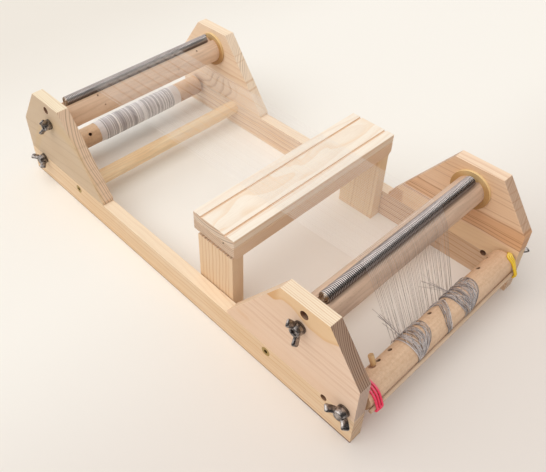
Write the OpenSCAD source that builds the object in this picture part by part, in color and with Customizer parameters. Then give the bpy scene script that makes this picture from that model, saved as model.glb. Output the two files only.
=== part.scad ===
// Bead loom with two spring rollers, two warp rollers and a sliding bridge.
// X runs across the loom, Y along its rails with the near end at -Y, Z up from the table.

/* [Frame] */
// Length of the two rails
frame_l = 516; // [450:2:600]
// Width over the outer faces of the rails
frame_w = 260; // [240:2:310]
// Thickness of the rail and cheek boards
board_t = 14; // [12:0.5:17]
// Height of a rail
rail_h = 33.5; // [30:0.5:40]

/* [Cheeks] */
// Height of a cheek above the rail it is glued to
cheek_rise = 93; // [88:1:105]
// Height of the cheek's upright end edge above the rail
cheek_end_rise = 43.5; // [36:0.5:52]
// Distance from the loom's end to the start of the cheek's level top
cheek_top_start = 36; // [28:1:42]
// Distance from the loom's end to the end of the cheek's level top
cheek_top_end = 89; // [84:1:96]
// Length of a cheek along the rail
cheek_l = 154.5; // [140:0.5:165]
// Height of the blunt toe where the cheek's slope ends
cheek_toe = 4; // [2:0.5:7]
// Diameter of the empty hole beside each spring
spare_top_hole_d = 8.5; // [6:0.5:9]
// Distance of that hole from the loom's end
spare_top_in = 62; // [58:0.5:66]
// Depth of that hole's centre below the cheek's top
spare_top_drop = 10.5; // [9:0.5:12]
// Diameter of the empty lower hole in the near cheeks
spare_low_hole_d = 6.5; // [5:0.5:8]
// Distance of the empty lower hole from the near end
spare_low_in = 33; // [30:0.5:40]
// Height of the empty lower hole above the table
spare_low_h = 31.5; // [28:0.5:36]

/* [Upper rollers] */
// Diameter of an upper roller
upper_roller_d = 32; // [28:0.5:34]
// Distance of its axis from the loom's end
upper_in = 64.7; // [60:0.5:72]
// Depth of its axis below the cheek's top
upper_drop = 27.2; // [26:0.2:32]
// Diameter of the plywood flange at each of its ends
flange_d = 43; // [38:0.5:46]
// Thickness of a flange
flange_t = 3; // [2:0.5:5]
// Diameter of the small holes in the far upper roller
pin_hole_d = 1.8; // [1:0.2:3]
// Depth of the small holes
pin_hole_deep = 8; // [4:1:12]

/* [Springs] */
// Outside diameter of a spring
spring_d = 11; // [9:0.5:12]
// Diameter of the spring wire
spring_wire = 1.5; // [1:0.1:2]
// How deep a spring lies in its roller
spring_sink = 3.5; // [2:0.25:5]
// Distance of a spring's end from its roller's end
spring_in = 7.3; // [4:0.5:20]
// Curls drawn on each spring
spring_curls = 22; // [12:1:26]
// Lean of the near spring towards the near end, in degrees
near_lean = 7; // [0:1:12]
// Lean of the far spring towards the far end, in degrees
far_lean = 2.5; // [0:0.5:12]

/* [Lower rollers] */
// Diameter of a lower roller
lower_roller_d = 26; // [22:0.5:30]
// Gap between a lower roller's end and the cheek
lower_end_gap = 4; // [3.6:0.1:6]
// Distance of the near one's axis from the near end
near_lower_in = 11.2; // [9:0.2:14]
// Height of the near one's axis
near_lower_h = 39.2; // [36:0.2:46]
// Distance of the far one's axis from the far end
far_lower_in = 28.4; // [24:0.2:34]
// Height of the far one's axis
far_lower_h = 30.1; // [26:0.2:36]
// Diameter of the peg holes
peg_hole_d = 4.5; // [3.5:0.1:5.5]
// Depth of the peg holes
peg_hole_deep = 9; // [6:0.5:9.5]
// Direction of the peg holes, in degrees up from the far side
peg_turn = 54; // [40:1:70]
// Length of the peg that stands out of the near lower roller
peg_out = 11.5; // [6:0.5:16]
// Distance of the standing peg from the roller's left end
peg_in = 27.5; // [20:0.5:32]
// Length of the far peg that stands out
far_peg_out = 2; // [1:0.5:5]

/* [Studs and nuts] */
// Diameter of the roller studs
stud_d = 6; // [5:0.5:7]
// Length of a stud inside its roller
stud_grip = 25; // [15:1:40]
// How far the upper studs stop below the hub's end
stud_recess = 2; // [0:0.5:4]
// Outside diameter of a washer
washer_d = 12.5; // [11:0.5:16]
// Thickness of a washer
washer_t = 1.6; // [1:0.1:2.4]
// Width across the flats of a lock nut
lock_nut_af = 10; // [9:0.5:13]
// Thickness of a lock nut
lock_nut_t = 3.2; // [2:0.1:3.4]
// Diameter of a wing nut's hub where it meets the washer
hub_d = 11.5; // [10:0.1:13]
// Diameter of the hub's outer end
hub_end_d = 9.7; // [9:0.1:10.5]
// Height of the hub
hub_h = 6.5; // [5:0.1:8]
// Span over the two wings
wing_span = 27.3; // [24:0.1:32]
// Height of the wings' tips above the hub's base
wing_h = 13; // [11:0.1:16]
// Thickness of a wing
wing_t = 2.6; // [2:0.1:4]
// Width of a wing's rounded end
wing_end_d = 6.4; // [5:0.1:8]

/* [Crossbars] */
// Diameter of a crossbar
crossbar_d = 18; // [14:0.5:20]
// Distance of a crossbar's axis from the loom's end
crossbar_in = 102.5; // [98:0.5:125]
// Height of a crossbar's axis
crossbar_h = 25.7; // [14:0.1:26]
// Diameter of a crossbar screw's head
screw_head_d = 10; // [8:0.5:12]
// Depth of the screw head's cone
screw_cone = 3; // [2:0.5:4]
// Diameter of a screw's shank
screw_d = 5; // [4:0.5:6]
// Length of a screw inside the crossbar
screw_grip = 36; // [25:1:50]
// Width across the flats of the screw's hexagon socket
socket_af = 4; // [3:0.5:5]

/* [Bridge] */
// Play between the bridge's ends and each rail
bridge_play = 0.9; // [0.5:0.1:3]
// Width of the bridge along the rails
bridge_w = 55.6; // [50:0.2:66]
// Distance from the springs' tops down to the bridge's top
bridge_drop = 7.7; // [5:0.1:20]
// Thickness of the bridge's top board
top_board_t = 10; // [7:0.5:13]
// Thickness of the board below it
low_board_t = 15.5; // [12:0.5:19]
// Distance of the bridge's middle from the near end
bridge_in = 188; // [182:1:300]
// Distance of a groove's middle from the top board's long edge
groove_in = 11.3; // [8:0.1:16]
// Width of a groove
groove_w = 2.5; // [1.5:0.1:4]
// Depth of a groove
groove_deep = 1.5; // [1:0.1:3]
// Size of the eased edge at the seam of the two boards
seam_ease = 0.8; // [0.4:0.1:1.5]
// Size of the chamfer under each end of the lower board
end_ease = 4; // [2:0.5:6]
// Thickness of a leg
leg_t = 14; // [12:0.5:18]
// Width of a leg along the rails
leg_w = 48; // [40:0.5:49]
// How far the legs sit off the bridge's middle, towards the near end
leg_shift = 1.5; // [0:0.1:2]
// Diameter of the nail in each end of the lower board
nail_d = 1.6; // [1:0.1:2.4]
// Length of a nail
nail_l = 25; // [15:1:40]
// Distance of a nail from the bridge's middle, towards the near end
nail_off = 13.6; // [5:0.1:20]
// Depth of a nail below the seam
nail_drop = 1.8; // [1.4:0.1:4]

/* [Warp and windings] */
// Threads in the warp
warp_count = 28; // [12:1:40]
// Thickness of a warp thread
thread_d = 0.5; // [0.4:0.1:0.8]
// Width of the warp
warp_w = 117; // [60:1:140]
// Place of the warp's middle, right of the loom's middle
warp_mid = -5; // [-12:1:12]
// Left end of the paper sleeve on the far lower roller
paper_x0 = -55; // [-62:1:-50]
// Right end of the paper sleeve
paper_x1 = 75; // [68:1:80]
// Thickness of the paper sleeve
paper_t = 0.4; // [0.2:0.1:1]
// Left end of the thread wound over the paper
roll_x0 = -47; // [-49:1:-40]
// Right end of the wound thread
roll_x1 = 64; // [55:1:66]
// Thickness of the wound thread's core
roll_t = 0.4; // [0.2:0.1:2]
// Loops drawn over the wound thread
roll_loops = 5; // [3:1:7]
// Thickness of a thread bundle's core on the near lower roller
bundle_t = 1; // [0.5:0.1:1.6]
// Diameter of the strands wound over a bundle
strand_d = 0.8; // [0.6:0.1:1]

/* [Tie rod and elastics] */
// Diameter of the tie rod
rod_d = 3.6; // [3:0.1:4.4]
// Direction from the near lower roller's axis to the rod, in degrees
rod_turn = 197; // [190:1:205]
// How far the rod passes the left end of its roller
rod_past = 1.5; // [0:0.5:3]
// Diameter of an elastic
elastic_d = 1.6; // [1.2:0.1:2]
// Distance between an elastic's turns
elastic_pitch = 2.2; // [2.1:0.1:3]
// Turns of the pink elastic
pink_turns = 3; // [1:1:3]
// Turns of the yellow elastic
yellow_turns = 2; // [1:1:3]
// Distance of the elastics from the roller's ends
elastic_in = 1.6; // [1:0.1:4]

/* [Clearances] */
// Gap between pieces that turn or slide past each other
turn_gap = 0.2; // [0.1:0.05:0.3]
// Play of a stud in its hole, all round
stud_play = 0.3; // [0.2:0.05:0.5]
// Play of a nut on its stud, all round
nut_play = 0.05; // [0.03:0.01:0.08]
// Play of a peg in its hole, all round
peg_play = 0.05; // [0.03:0.01:0.08]
// Play of a glued, driven or screwed piece in its seat, all round
seat_play = 0.02; // [0.01:0.01:0.05]
// Play of a spring in its groove, all round
groove_play = 0.15; // [0.1:0.05:0.3]
// Gap between the warp and what turns below it
warp_gap = 0.35; // [0.3:0.05:0.6]
// Gap between a wound piece and what it is wound on
wound_gap = 0.15; // [0.1:0.05:0.2]

/* [Hidden] */
$fn = 64;

// Colours
pine = "#e8c99b";
beech = "#d9b48c";
plywood = "#d8b56a";
steel = "#8c8c8c";
zinc = "#a8a8ac";
brass = "#b8964a";
thread_grey = "#b9bcc4";
elastic_pink = "#e83a5f";
elastic_yellow = "#e2b31c";

// Rings along a curl of a spring and along a loop of a winding, and the sides of those tubes
curl_rings = 8;
loop_rings = 24;
tube_sides = 6;
arc_steps = 4;

// Each hole of the near lower roller: which end it is measured from, distance, direction off peg_turn
peg_holes = [[-1, 34.2, 0], [-1, 50, 0], [-1, 92, 0], [-1, 108.2, 0],
             [1, 93.7, 0], [1, 55.1, 0], [1, 35.5, 0], [1, 15.4, -17]];
// Each small hole of the far upper roller: which end, distance from it, direction
pin_holes = [[-1, 44.8, 120], [-1, 48.8, 168], [1, 31.4, 125], [1, 66.9, 166], [1, 24.9, -150], [1, 11.5, -146]];
// The far lower roller's open hole and its peg: distance from its end, direction
far_hole = [43.2, 135];
far_peg_place = [22.2, 131];
// Each bundle on the near lower roller: left end, right end, loops
left_bundle_span = [-43, -21, 2];
middle_bundle_span = [7, 15, 1];
right_bundle_span = [22, 58, 2];
// Turns of the wing nuts about their studs, in degrees
near_upper_turns = [66, 35];
far_upper_turns = [115, 80];
near_lower_turns = [15, 160];
far_lower_turns = [12, 120];

// Frame, worked out from the sizes above. The origin is at the middle of the whole loom on the
// table, and the rod's elastics stand past the near end by front_reach.
half_w = frame_w / 2;
inner_w = half_w - board_t;
lower_r = lower_roller_d / 2;
rod_r = rod_d / 2;
elastic_r = elastic_d / 2;
rod_dist = lower_r + rod_r + wound_gap;
elastic_off = wound_off(lower_r, elastic_d);
front_reach = max(0, -rod_dist * cos(rod_turn) + rod_r + elastic_off + elastic_r - near_lower_in);
near_end = -(frame_l - front_reach) / 2;
far_end = near_end + frame_l;
cheek_top = rail_h + cheek_rise;

// Roller axes, as [y, z]
upper_z = cheek_top - upper_drop;
near_upper = [near_end + upper_in, upper_z];
far_upper = [far_end - upper_in, upper_z];
near_lower = [near_end + near_lower_in, near_lower_h];
far_lower = [far_end - far_lower_in, far_lower_h];

// Rollers and springs
upper_r = upper_roller_d / 2;
upper_end = inner_w - turn_gap - flange_t;
lower_end = inner_w - lower_end_gap;
spring_r = spring_d / 2;
spring_off = upper_r + spring_r - spring_sink;
near_spring_turn = 90 + near_lean;
far_spring_turn = 90 - far_lean;
near_spring_axis = near_upper + spring_off * [cos(near_spring_turn), sin(near_spring_turn)];
far_spring_axis = far_upper + spring_off * [cos(far_spring_turn), sin(far_spring_turn)];

// Fasteners outside the cheeks
washer_x = half_w + turn_gap;
nut_x = washer_x + washer_t + turn_gap;
stud_r = stud_d / 2;
peg_r = peg_hole_d / 2 - peg_play;

// Bridge
bridge_y = near_end + bridge_in;
bridge_half = inner_w - bridge_play;
bridge_h = min(near_spring_axis[1], far_spring_axis[1]) + spring_r - bridge_drop;
seam_z = bridge_h - top_board_t;
leg_h = seam_z - low_board_t;

// Windings
paper_r = lower_r + paper_t;
roll_r = paper_r + roll_t;
roll_out = roll_r + wound_off(roll_r, thread_d) + thread_d / 2;
bundle_r = lower_r + bundle_t;
bundle_out = bundle_r + wound_off(bundle_r, strand_d) + strand_d / 2;

function polar(c, r, a) = c + r * [cos(a), sin(a)];
// How far the middle of a thread of diameter d lies outside what it is wound on, of radius r
function wound_off(r, d) = wound_gap + r * (1 - cos(180 / loop_rings)) + d / 2;
function unit(v) = v / norm(v);

// Direction of the outward normal where a taut line leaves one circle for the next. A negative
// radius puts the circle on the line's other side.
function leave_turn(c1, r1, c2, r2) =
    atan2(c2[1] - c1[1], c2[0] - c1[0]) - acos((r1 - r2) / norm(c2 - c1));

// Offsets and sides of the tubes
function tube_gap(p, apart, d) =
    min([for (i = [0 : len(p) - 1]) for (j = [i + apart : 1 : len(p) - 1]) norm(p[i] - p[j])]) - d;
function tube_ring(c, out, along, r) =
    [for (k = [0 : tube_sides - 1]) c + r * (cos(360 * k / tube_sides) * out
        + sin(360 * k / tube_sides) * cross(along, out))];
// The route with a straight run of one tube diameter added at each end
function with_ends(p, d) =
    concat([p[0] + d * unit(p[0] - p[1])], p,
           [p[len(p) - 1] + d * unit(p[len(p) - 1] - p[len(p) - 2])]);
function outs_with_ends(o) = concat([o[0]], o, [o[len(o) - 1]]);

// One closed tube of triangles along a route, with the outward direction of each of its points
module tube(route, outs, d) {
    p = with_ends(route, d);
    o = outs_with_ends(outs);
    n = len(p);
    s = tube_sides;
    pts = [for (i = [0 : n - 1]) each tube_ring(p[i], o[i],
        unit(p[min(i + 1, n - 1)] - p[max(i - 1, 0)]), d / 2)];
    walls = [for (i = [0 : n - 2]) for (k = [0 : s - 1]) let (a = i * s + k, b = i * s + (k + 1) % s)
        each [[a, a + s, b + s], [a, b + s, b]]];
    first = [for (k = [1 : s - 2]) [0, k, k + 1]];
    last = [for (k = [1 : s - 2]) [(n - 1) * s, (n - 1) * s + k + 1, (n - 1) * s + k]];
    polyhedron(pts, concat(first, walls, last), convexity = 10);
}

// A helix along X round an axis given as [y, z]
function helix(x0, x1, axis, r, turns, steps, start) =
    [for (i = [0 : turns * steps]) let (q = polar(axis, r, start + 360 * i / steps))
        [x0 + (x1 - x0) * i / (turns * steps), q[0], q[1]]];
function helix_outs(turns, steps, start) =
    [for (i = [0 : turns * steps]) [0, cos(start + 360 * i / steps), sin(start + 360 * i / steps)]];

// A band drawn taut round the near lower roller and the tie rod, in turns from x0 to x1. Its middle
// runs off_roller outside the roller's radius r and off_roller outside the rod's.
rod_axis = polar(near_lower, rod_dist, rod_turn);
function off_rod(a) = abs((a - rod_turn + 540) % 360 - 180);
function band_point(x, a, r, off) = let (spread = acos((r - rod_r) / rod_dist),
        q = off_rod(a) < spread ? polar(rod_axis, rod_r + off, a) : polar(near_lower, r + off, a))
    [x, q[0], q[1]];
function band(x0, x1, turns, r, off) = let (n = turns * loop_rings)
    [for (i = [0 : n]) band_point(x0 + (x1 - x0) * i / n, 360 * i / loop_rings, r, off)];

// A solid rod along X from x0 to x1 on an axis given as [y, z]
module rod_x(x0, x1, axis, r) {
    translate([x0, axis[0], axis[1]]) rotate([0, 90, 0]) cylinder(h = x1 - x0, r = r);
}

// An outline drawn in Y and Z, given a thickness along X from x0 to x1
module across(x0, x1) {
    translate([x0, 0, 0]) rotate([90, 0, 90]) linear_extrude(height = x1 - x0) children();
}

// A round hole or pin along a roller's radius: from r0 to r1, at x, in direction a
module radial_x(x, axis, a, r0, r1, r) {
    translate([x, axis[0], axis[1]]) rotate([a - 90, 0, 0]) translate([0, 0, r0])
        cylinder(h = r1 - r0, r = r);
}

// Holes that go through both boards of each side, one glued on the other
module stud_holes() {
    r = stud_r + stud_play;
    for (axis = [near_upper, far_upper, near_lower, far_lower]) rod_x(-half_w - 1, half_w + 1, axis, r);
    for (y = [near_end + spare_top_in, far_end - spare_top_in])
        rod_x(-half_w - 1, half_w + 1, [y, cheek_top - spare_top_drop], spare_top_hole_d / 2);
    rod_x(-half_w - 1, half_w + 1, [near_end + spare_low_in, spare_low_h], spare_low_hole_d / 2);
}

// One screw of a crossbar, pushed in along X from the outer face of the left rail
module left_screw(y, extra) {
    axis = [y, crossbar_h];
    head_r = screw_head_d / 2 + extra;
    shank_r = screw_d / 2 + extra;
    translate([-half_w, y, crossbar_h]) rotate([0, 90, 0]) cylinder(h = screw_cone, r1 = head_r, r2 = shank_r);
    rod_x(-half_w, -inner_w + screw_grip + extra, axis, shank_r);
}

crossbar_ys = [near_end + crossbar_in, far_end - crossbar_in];

module screws(extra) {
    for (y = crossbar_ys) for (m = [0, 1]) mirror([m, 0, 0]) left_screw(y, extra);
}

module rail(side) {
    difference() {
        translate([side < 0 ? -half_w : inner_w, near_end, 0]) cube([board_t, frame_l, rail_h]);
        stud_holes();
        screws(seat_play);
    }
}

// side is -1 on the left and 1 on the right, and far is true at the far end
module cheek(side, far) {
    outline = [[0, rail_h], [0, rail_h + cheek_end_rise], [cheek_top_start, cheek_top],
               [cheek_top_end, cheek_top], [cheek_l, rail_h + cheek_toe], [cheek_l, rail_h]];
    x0 = side < 0 ? -half_w : inner_w;
    difference() {
        across(x0, x0 + board_t)
            polygon([for (q = outline) [far ? far_end - q[0] : near_end + q[0], q[1]]]);
        stud_holes();
    }
}

module crossbar(y) {
    difference() {
        rod_x(-inner_w, inner_w, [y, crossbar_h], crossbar_d / 2);
        screws(seat_play);
    }
}

module socket(y) {
    translate([-half_w, y, crossbar_h]) rotate([0, 90, 0])
        cylinder(h = screw_cone, r = socket_af / sqrt(3), $fn = 6);
}

module crossbar_screws() {
    color(brass) for (y = crossbar_ys) for (m = [0, 1]) mirror([m, 0, 0]) difference() {
        left_screw(y, 0);
        translate([-0.01, 0, 0]) socket(y);
    }
}

// Bores for the studs in a roller's two ends
module stud_bores(end, axis) {
    for (m = [0, 1]) mirror([m, 0, 0])
        rod_x(end - stud_grip, end + 1, axis, stud_r + seat_play);
}

module upper_roller(axis, spring_axis) {
    difference() {
        rod_x(-upper_end, upper_end, axis, upper_r);
        rod_x(-upper_end - 1, upper_end + 1, spring_axis, spring_r + groove_play);
        stud_bores(upper_end, axis);
    }
}

module far_upper_roller() {
    color(beech) difference() {
        upper_roller(far_upper, far_spring_axis);
        for (h = pin_holes)
            radial_x(h[0] * (upper_end - h[1]), far_upper, h[2], upper_r - pin_hole_deep, upper_r + 1, pin_hole_d / 2);
    }
}

module flanges(axis) {
    color(plywood) for (m = [0, 1]) mirror([m, 0, 0]) difference() {
        rod_x(upper_end, upper_end + flange_t, axis, flange_d / 2);
        rod_x(upper_end - 1, upper_end + flange_t + 1, axis, stud_r + seat_play);
    }
}

spring_path_r = spring_r - spring_wire / 2;
spring_end = upper_end - spring_in;
function spring_route(axis) =
    helix(-spring_end, spring_end, axis, spring_path_r, spring_curls, curl_rings, 0);

module spring(axis) {
    color(steel) tube(spring_route(axis), helix_outs(spring_curls, curl_rings, 0), spring_wire);
}

module near_lower_roller() {
    bottom = lower_r - peg_hole_deep;
    color(beech) difference() {
        rod_x(-lower_end, lower_end, near_lower, lower_r);
        stud_bores(lower_end, near_lower);
        for (h = peg_holes)
            radial_x(h[0] * (lower_end - h[1]), near_lower, peg_turn + h[2], bottom, lower_r + 1, peg_hole_d / 2);
        radial_x(-lower_end + peg_in, near_lower, peg_turn, bottom, lower_r + 1, peg_hole_d / 2);
    }
}

module far_lower_roller() {
    bottom = lower_r - peg_hole_deep;
    color(beech) difference() {
        rod_x(-lower_end, lower_end, far_lower, lower_r);
        stud_bores(lower_end, far_lower);
        radial_x(-lower_end + far_hole[0], far_lower, far_hole[1], bottom, lower_r + 1, peg_hole_d / 2);
        radial_x(lower_end - far_peg_place[0], far_lower, far_peg_place[1], bottom, lower_r + 1, peg_hole_d / 2);
    }
}

// Two studs of one roller, from inside it to its wing nuts, which cover them by cover
module studs(end, axis, cover) {
    color(zinc) for (m = [0, 1]) mirror([m, 0, 0])
        rod_x(end - stud_grip, nut_x + cover, axis, stud_r);
}

module washers(axis) {
    color(zinc) for (m = [0, 1]) mirror([m, 0, 0]) difference() {
        rod_x(washer_x, washer_x + washer_t, axis, washer_d / 2);
        rod_x(washer_x - 1, washer_x + washer_t + 1, axis, stud_r + seat_play);
    }
}

module lock_nuts(axis) {
    color(zinc) for (m = [0, 1]) mirror([m, 0, 0]) difference() {
        translate([lower_end, axis[0], axis[1]]) rotate([0, 90, 0])
            cylinder(h = lock_nut_t, r = lock_nut_af / sqrt(3), $fn = 6);
        rod_x(lower_end - 1, lower_end + lock_nut_t + 1, axis, stud_r + seat_play);
    }
}

// Outline of one wing: distance from the stud's axis, and height above the hub's base
module wing_outline() {
    end_r = wing_end_d / 2;
    c = [wing_span / 2 - end_r, wing_h - end_r];
    root = [hub_end_d / 2 - 1, hub_h / 2];
    lean = unit([c[0] - root[0], c[1] - root[1]]);
    side = end_r * [lean[1], -lean[0]];
    polygon([[root[0], 1], [hub_d / 2 - 0.4, 1], c + side, c - side, [root[0], hub_h - 0.4]]);
    translate(c) circle(r = end_r);
}

// A wing nut on the stud at axis, on the left (-1) or right (1), turned by turn degrees
module wing_nut(side, axis, turn) {
    color(zinc) translate([0, axis[0], axis[1]]) rotate([turn, 0, 0])
        mirror([side < 0 ? 1 : 0, 0, 0]) translate([nut_x, 0, 0]) rotate([0, 90, 0]) difference() {
            union() {
                cylinder(h = hub_h, r1 = hub_d / 2, r2 = hub_end_d / 2);
                for (a = [90, 270]) rotate([90, 0, a]) translate([0, 0, -wing_t / 2])
                    linear_extrude(height = wing_t) wing_outline();
            }
            translate([0, 0, -1]) cylinder(h = wing_h + 2, r = stud_r + nut_play);
        }
}

module stop_peg() {
    color(beech) radial_x(-lower_end + peg_in, near_lower, peg_turn,
        lower_r - peg_hole_deep + peg_play, lower_r + peg_out, peg_r);
}

module far_peg() {
    color(beech) radial_x(lower_end - far_peg_place[0], far_lower, far_peg_place[1],
        lower_r - peg_hole_deep + peg_play, lower_r + far_peg_out, peg_r);
}

module tie_rod() {
    color(beech) rod_x(-lower_end - rod_past, lower_end, rod_axis, rod_r);
}

band_x0 = -lower_end + elastic_in;
yellow_x0 = lower_end - elastic_in - yellow_turns * elastic_pitch;

function elastic_route(x0, turns) = band(x0, x0 + turns * elastic_pitch, turns, lower_r, elastic_off);

module elastic(x0, turns) {
    tube(elastic_route(x0, turns), helix_outs(turns, loop_rings, 0), elastic_d);
}

// The warp's middle line in Y and Z, as circles it lies against: centre, radius of the line's side
warp_off = warp_gap + thread_d / 2;
warp_circles = [[far_lower, roll_out + warp_off], [far_upper, upper_r + warp_off],
                [far_spring_axis, spring_r + warp_off], [near_spring_axis, spring_r + warp_off],
                [near_upper, upper_r + warp_off], [near_lower, -(bundle_out + warp_off)]];
warp_leave = [for (i = [0 : len(warp_circles) - 2]) leave_turn(
    warp_circles[i][0], warp_circles[i][1], warp_circles[i + 1][0], warp_circles[i + 1][1])];
// The line's normals at each circle, from where it arrives to where it leaves
function warp_arc(i) = let (from = warp_leave[max(i - 1, 0)],
        to = warp_leave[min(i, len(warp_leave) - 1)],
        turned = (to - from + 540) % 360 - 180,
        steps = abs(turned) < 0.5 ? 0 : arc_steps)
    [for (k = [0 : steps]) from + (steps == 0 ? 0 : turned * k / steps)];
function warp_edge(off) = [for (i = [0 : len(warp_circles) - 1]) for (a = warp_arc(i))
    polar(warp_circles[i][0], warp_circles[i][1] + off, a)];
function reversed(p) = [for (i = [len(p) - 1 : -1 : 0]) p[i]];

module warp_threads() {
    pitch = (warp_w - thread_d) / (warp_count - 1);
    outline = concat(warp_edge(thread_d / 2), reversed(warp_edge(-thread_d / 2)));
    color(thread_grey) for (i = [0 : warp_count - 1])
        let (x = warp_mid - warp_w / 2 + i * pitch) across(x, x + thread_d) polygon(outline);
}

// A plain sleeve round a roller, between two radii
module sleeve(x0, x1, axis, r0, r1) {
    difference() {
        rod_x(x0, x1, axis, r1);
        rod_x(x0 - 1, x1 + 1, axis, r0);
    }
}

// The threads wound over the far roller's core, and over a bundle's core and the tie rod
roll_route = helix(roll_x0 + thread_d, roll_x1 - thread_d, far_lower,
    roll_r + wound_off(roll_r, thread_d), roll_loops, loop_rings, 0);
function bundle_route(span) = band(span[0] + strand_d, span[1] - strand_d, span[2],
    bundle_r, wound_off(bundle_r, strand_d));

module bundle(span) {
    color(thread_grey) {
        difference() {
            sleeve(span[0], span[1], near_lower, lower_r + seat_play, bundle_r);
            rod_x(span[0] - 1, span[1] + 1, rod_axis, rod_r + wound_gap);
        }
        tube(bundle_route(span), helix_outs(span[2], loop_rings, 0), strand_d);
    }
}

module bridge_top_board() {
    w = bridge_w / 2;
    e = seam_ease;
    color(pine) difference() {
        across(-bridge_half, bridge_half) translate([bridge_y, 0])
            polygon([[-w, seam_z + e], [-w + e, seam_z], [w - e, seam_z], [w, seam_z + e], [w, bridge_h], [-w, bridge_h]]);
        for (y = [-w + groove_in, w - groove_in])
            translate([-bridge_half - 1, bridge_y + y - groove_w / 2, bridge_h - groove_deep])
                cube([2 * bridge_half + 2, groove_w, groove_deep + 1]);
    }
}

module nails(r, extra) {
    for (m = [0, 1]) mirror([m, 0, 0])
        rod_x(bridge_half - nail_l - extra, bridge_half + extra, [bridge_y - nail_off, seam_z - nail_drop], r);
}

module bridge_low_board() {
    w = bridge_w / 2;
    e = seam_ease;
    color(pine) difference() {
        across(-bridge_half, bridge_half) translate([bridge_y, 0])
            polygon([[-w, leg_h], [w, leg_h], [w, seam_z - e], [w - e, seam_z], [-w + e, seam_z], [-w, seam_z - e]]);
        for (m = [0, 1]) mirror([m, 0, 0]) translate([0, bridge_y + w + 1, 0]) rotate([90, 0, 0])
            linear_extrude(height = bridge_w + 2)
                polygon([[bridge_half, leg_h + end_ease], [bridge_half + 1, leg_h + end_ease],
                         [bridge_half + 1, leg_h - 1], [bridge_half - end_ease - 1, leg_h - 1]]);
        nails(nail_d / 2 + seat_play, seat_play);
    }
}

module bridge_leg(side) {
    color(pine) translate([side < 0 ? -bridge_half : bridge_half - leg_t, bridge_y - leg_shift - leg_w / 2, 0])
        cube([leg_t, leg_w, leg_h]);
}

color(pine) rail(-1);  // left_rail
color(pine) rail(1);  // right_rail
color(pine) cheek(-1, false);  // near_left_cheek
color(pine) cheek(1, false);  // near_right_cheek
color(pine) cheek(-1, true);  // far_left_cheek
color(pine) cheek(1, true);  // far_right_cheek
color(beech) crossbar(crossbar_ys[0]);  // near_crossbar
color(beech) crossbar(crossbar_ys[1]);  // far_crossbar
crossbar_screws();
color(beech) upper_roller(near_upper, near_spring_axis);  // near_upper_roller
far_upper_roller();
flanges(near_upper);  // near_flanges
flanges(far_upper);  // far_flanges
spring(near_spring_axis);  // near_spring
spring(far_spring_axis);  // far_spring
near_lower_roller();
far_lower_roller();
studs(upper_end, near_upper, hub_h - stud_recess);  // near_upper_studs
studs(upper_end, far_upper, hub_h - stud_recess);  // far_upper_studs
studs(lower_end, near_lower, hub_h);  // near_lower_studs
studs(lower_end, far_lower, hub_h);  // far_lower_studs
washers(near_upper);  // near_upper_washers
washers(far_upper);  // far_upper_washers
washers(near_lower);  // near_lower_washers
washers(far_lower);  // far_lower_washers
lock_nuts(near_lower);  // near_lock_nuts
lock_nuts(far_lower);  // far_lock_nuts
wing_nut(-1, near_upper, near_upper_turns[0]);  // near_upper_left_nut
wing_nut(1, near_upper, near_upper_turns[1]);  // near_upper_right_nut
wing_nut(-1, far_upper, far_upper_turns[0]);  // far_upper_left_nut
wing_nut(1, far_upper, far_upper_turns[1]);  // far_upper_right_nut
wing_nut(-1, near_lower, near_lower_turns[0]);  // near_lower_left_nut
wing_nut(1, near_lower, near_lower_turns[1]);  // near_lower_right_nut
wing_nut(-1, far_lower, far_lower_turns[0]);  // far_lower_left_nut
wing_nut(1, far_lower, far_lower_turns[1]);  // far_lower_right_nut
stop_peg();
far_peg();
tie_rod();
color(elastic_pink) elastic(band_x0, pink_turns);  // pink_elastic
color(elastic_yellow) elastic(yellow_x0, yellow_turns);  // yellow_elastic
warp_threads();
color("white") sleeve(paper_x0, paper_x1, far_lower, lower_r + seat_play, paper_r);  // paper_sleeve
color(thread_grey) sleeve(roll_x0, roll_x1, far_lower, paper_r + seat_play, roll_r);  // warp_roll
color("white") tube(roll_route, helix_outs(roll_loops, loop_rings, 0), thread_d);  // warp_roll_thread
bundle(left_bundle_span);  // left_bundle
bundle(middle_bundle_span);  // middle_bundle
bundle(right_bundle_span);  // right_bundle
bridge_top_board();
bridge_low_board();
bridge_leg(-1);  // bridge_left_leg
bridge_leg(1);  // bridge_right_leg
color(steel) nails(nail_d / 2, 0);  // bridge_nails

echo(least_gap_in_a_spring = tube_gap(spring_route(near_spring_axis), curl_rings / 2, spring_wire));
echo(least_gap_in_the_warp_roll = tube_gap(roll_route, loop_rings / 2, thread_d));
echo(least_gap_in_a_bundle = tube_gap(bundle_route(left_bundle_span), loop_rings / 2, strand_d));
echo(least_gap_in_an_elastic = tube_gap(elastic_route(band_x0, pink_turns), loop_rings / 2, elastic_d));
echo(near_end = near_end, far_end = far_end, near_upper = near_upper, far_upper = far_upper);
echo(near_lower = near_lower, far_lower = far_lower, rod_axis = rod_axis, warp_leave = warp_leave);
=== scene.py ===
"""Bead loom: pine frame, two spring rollers, two warp rollers, a bridge and its warp."""
import math
import random

import bpy
from mathutils import Matrix, Vector


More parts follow.
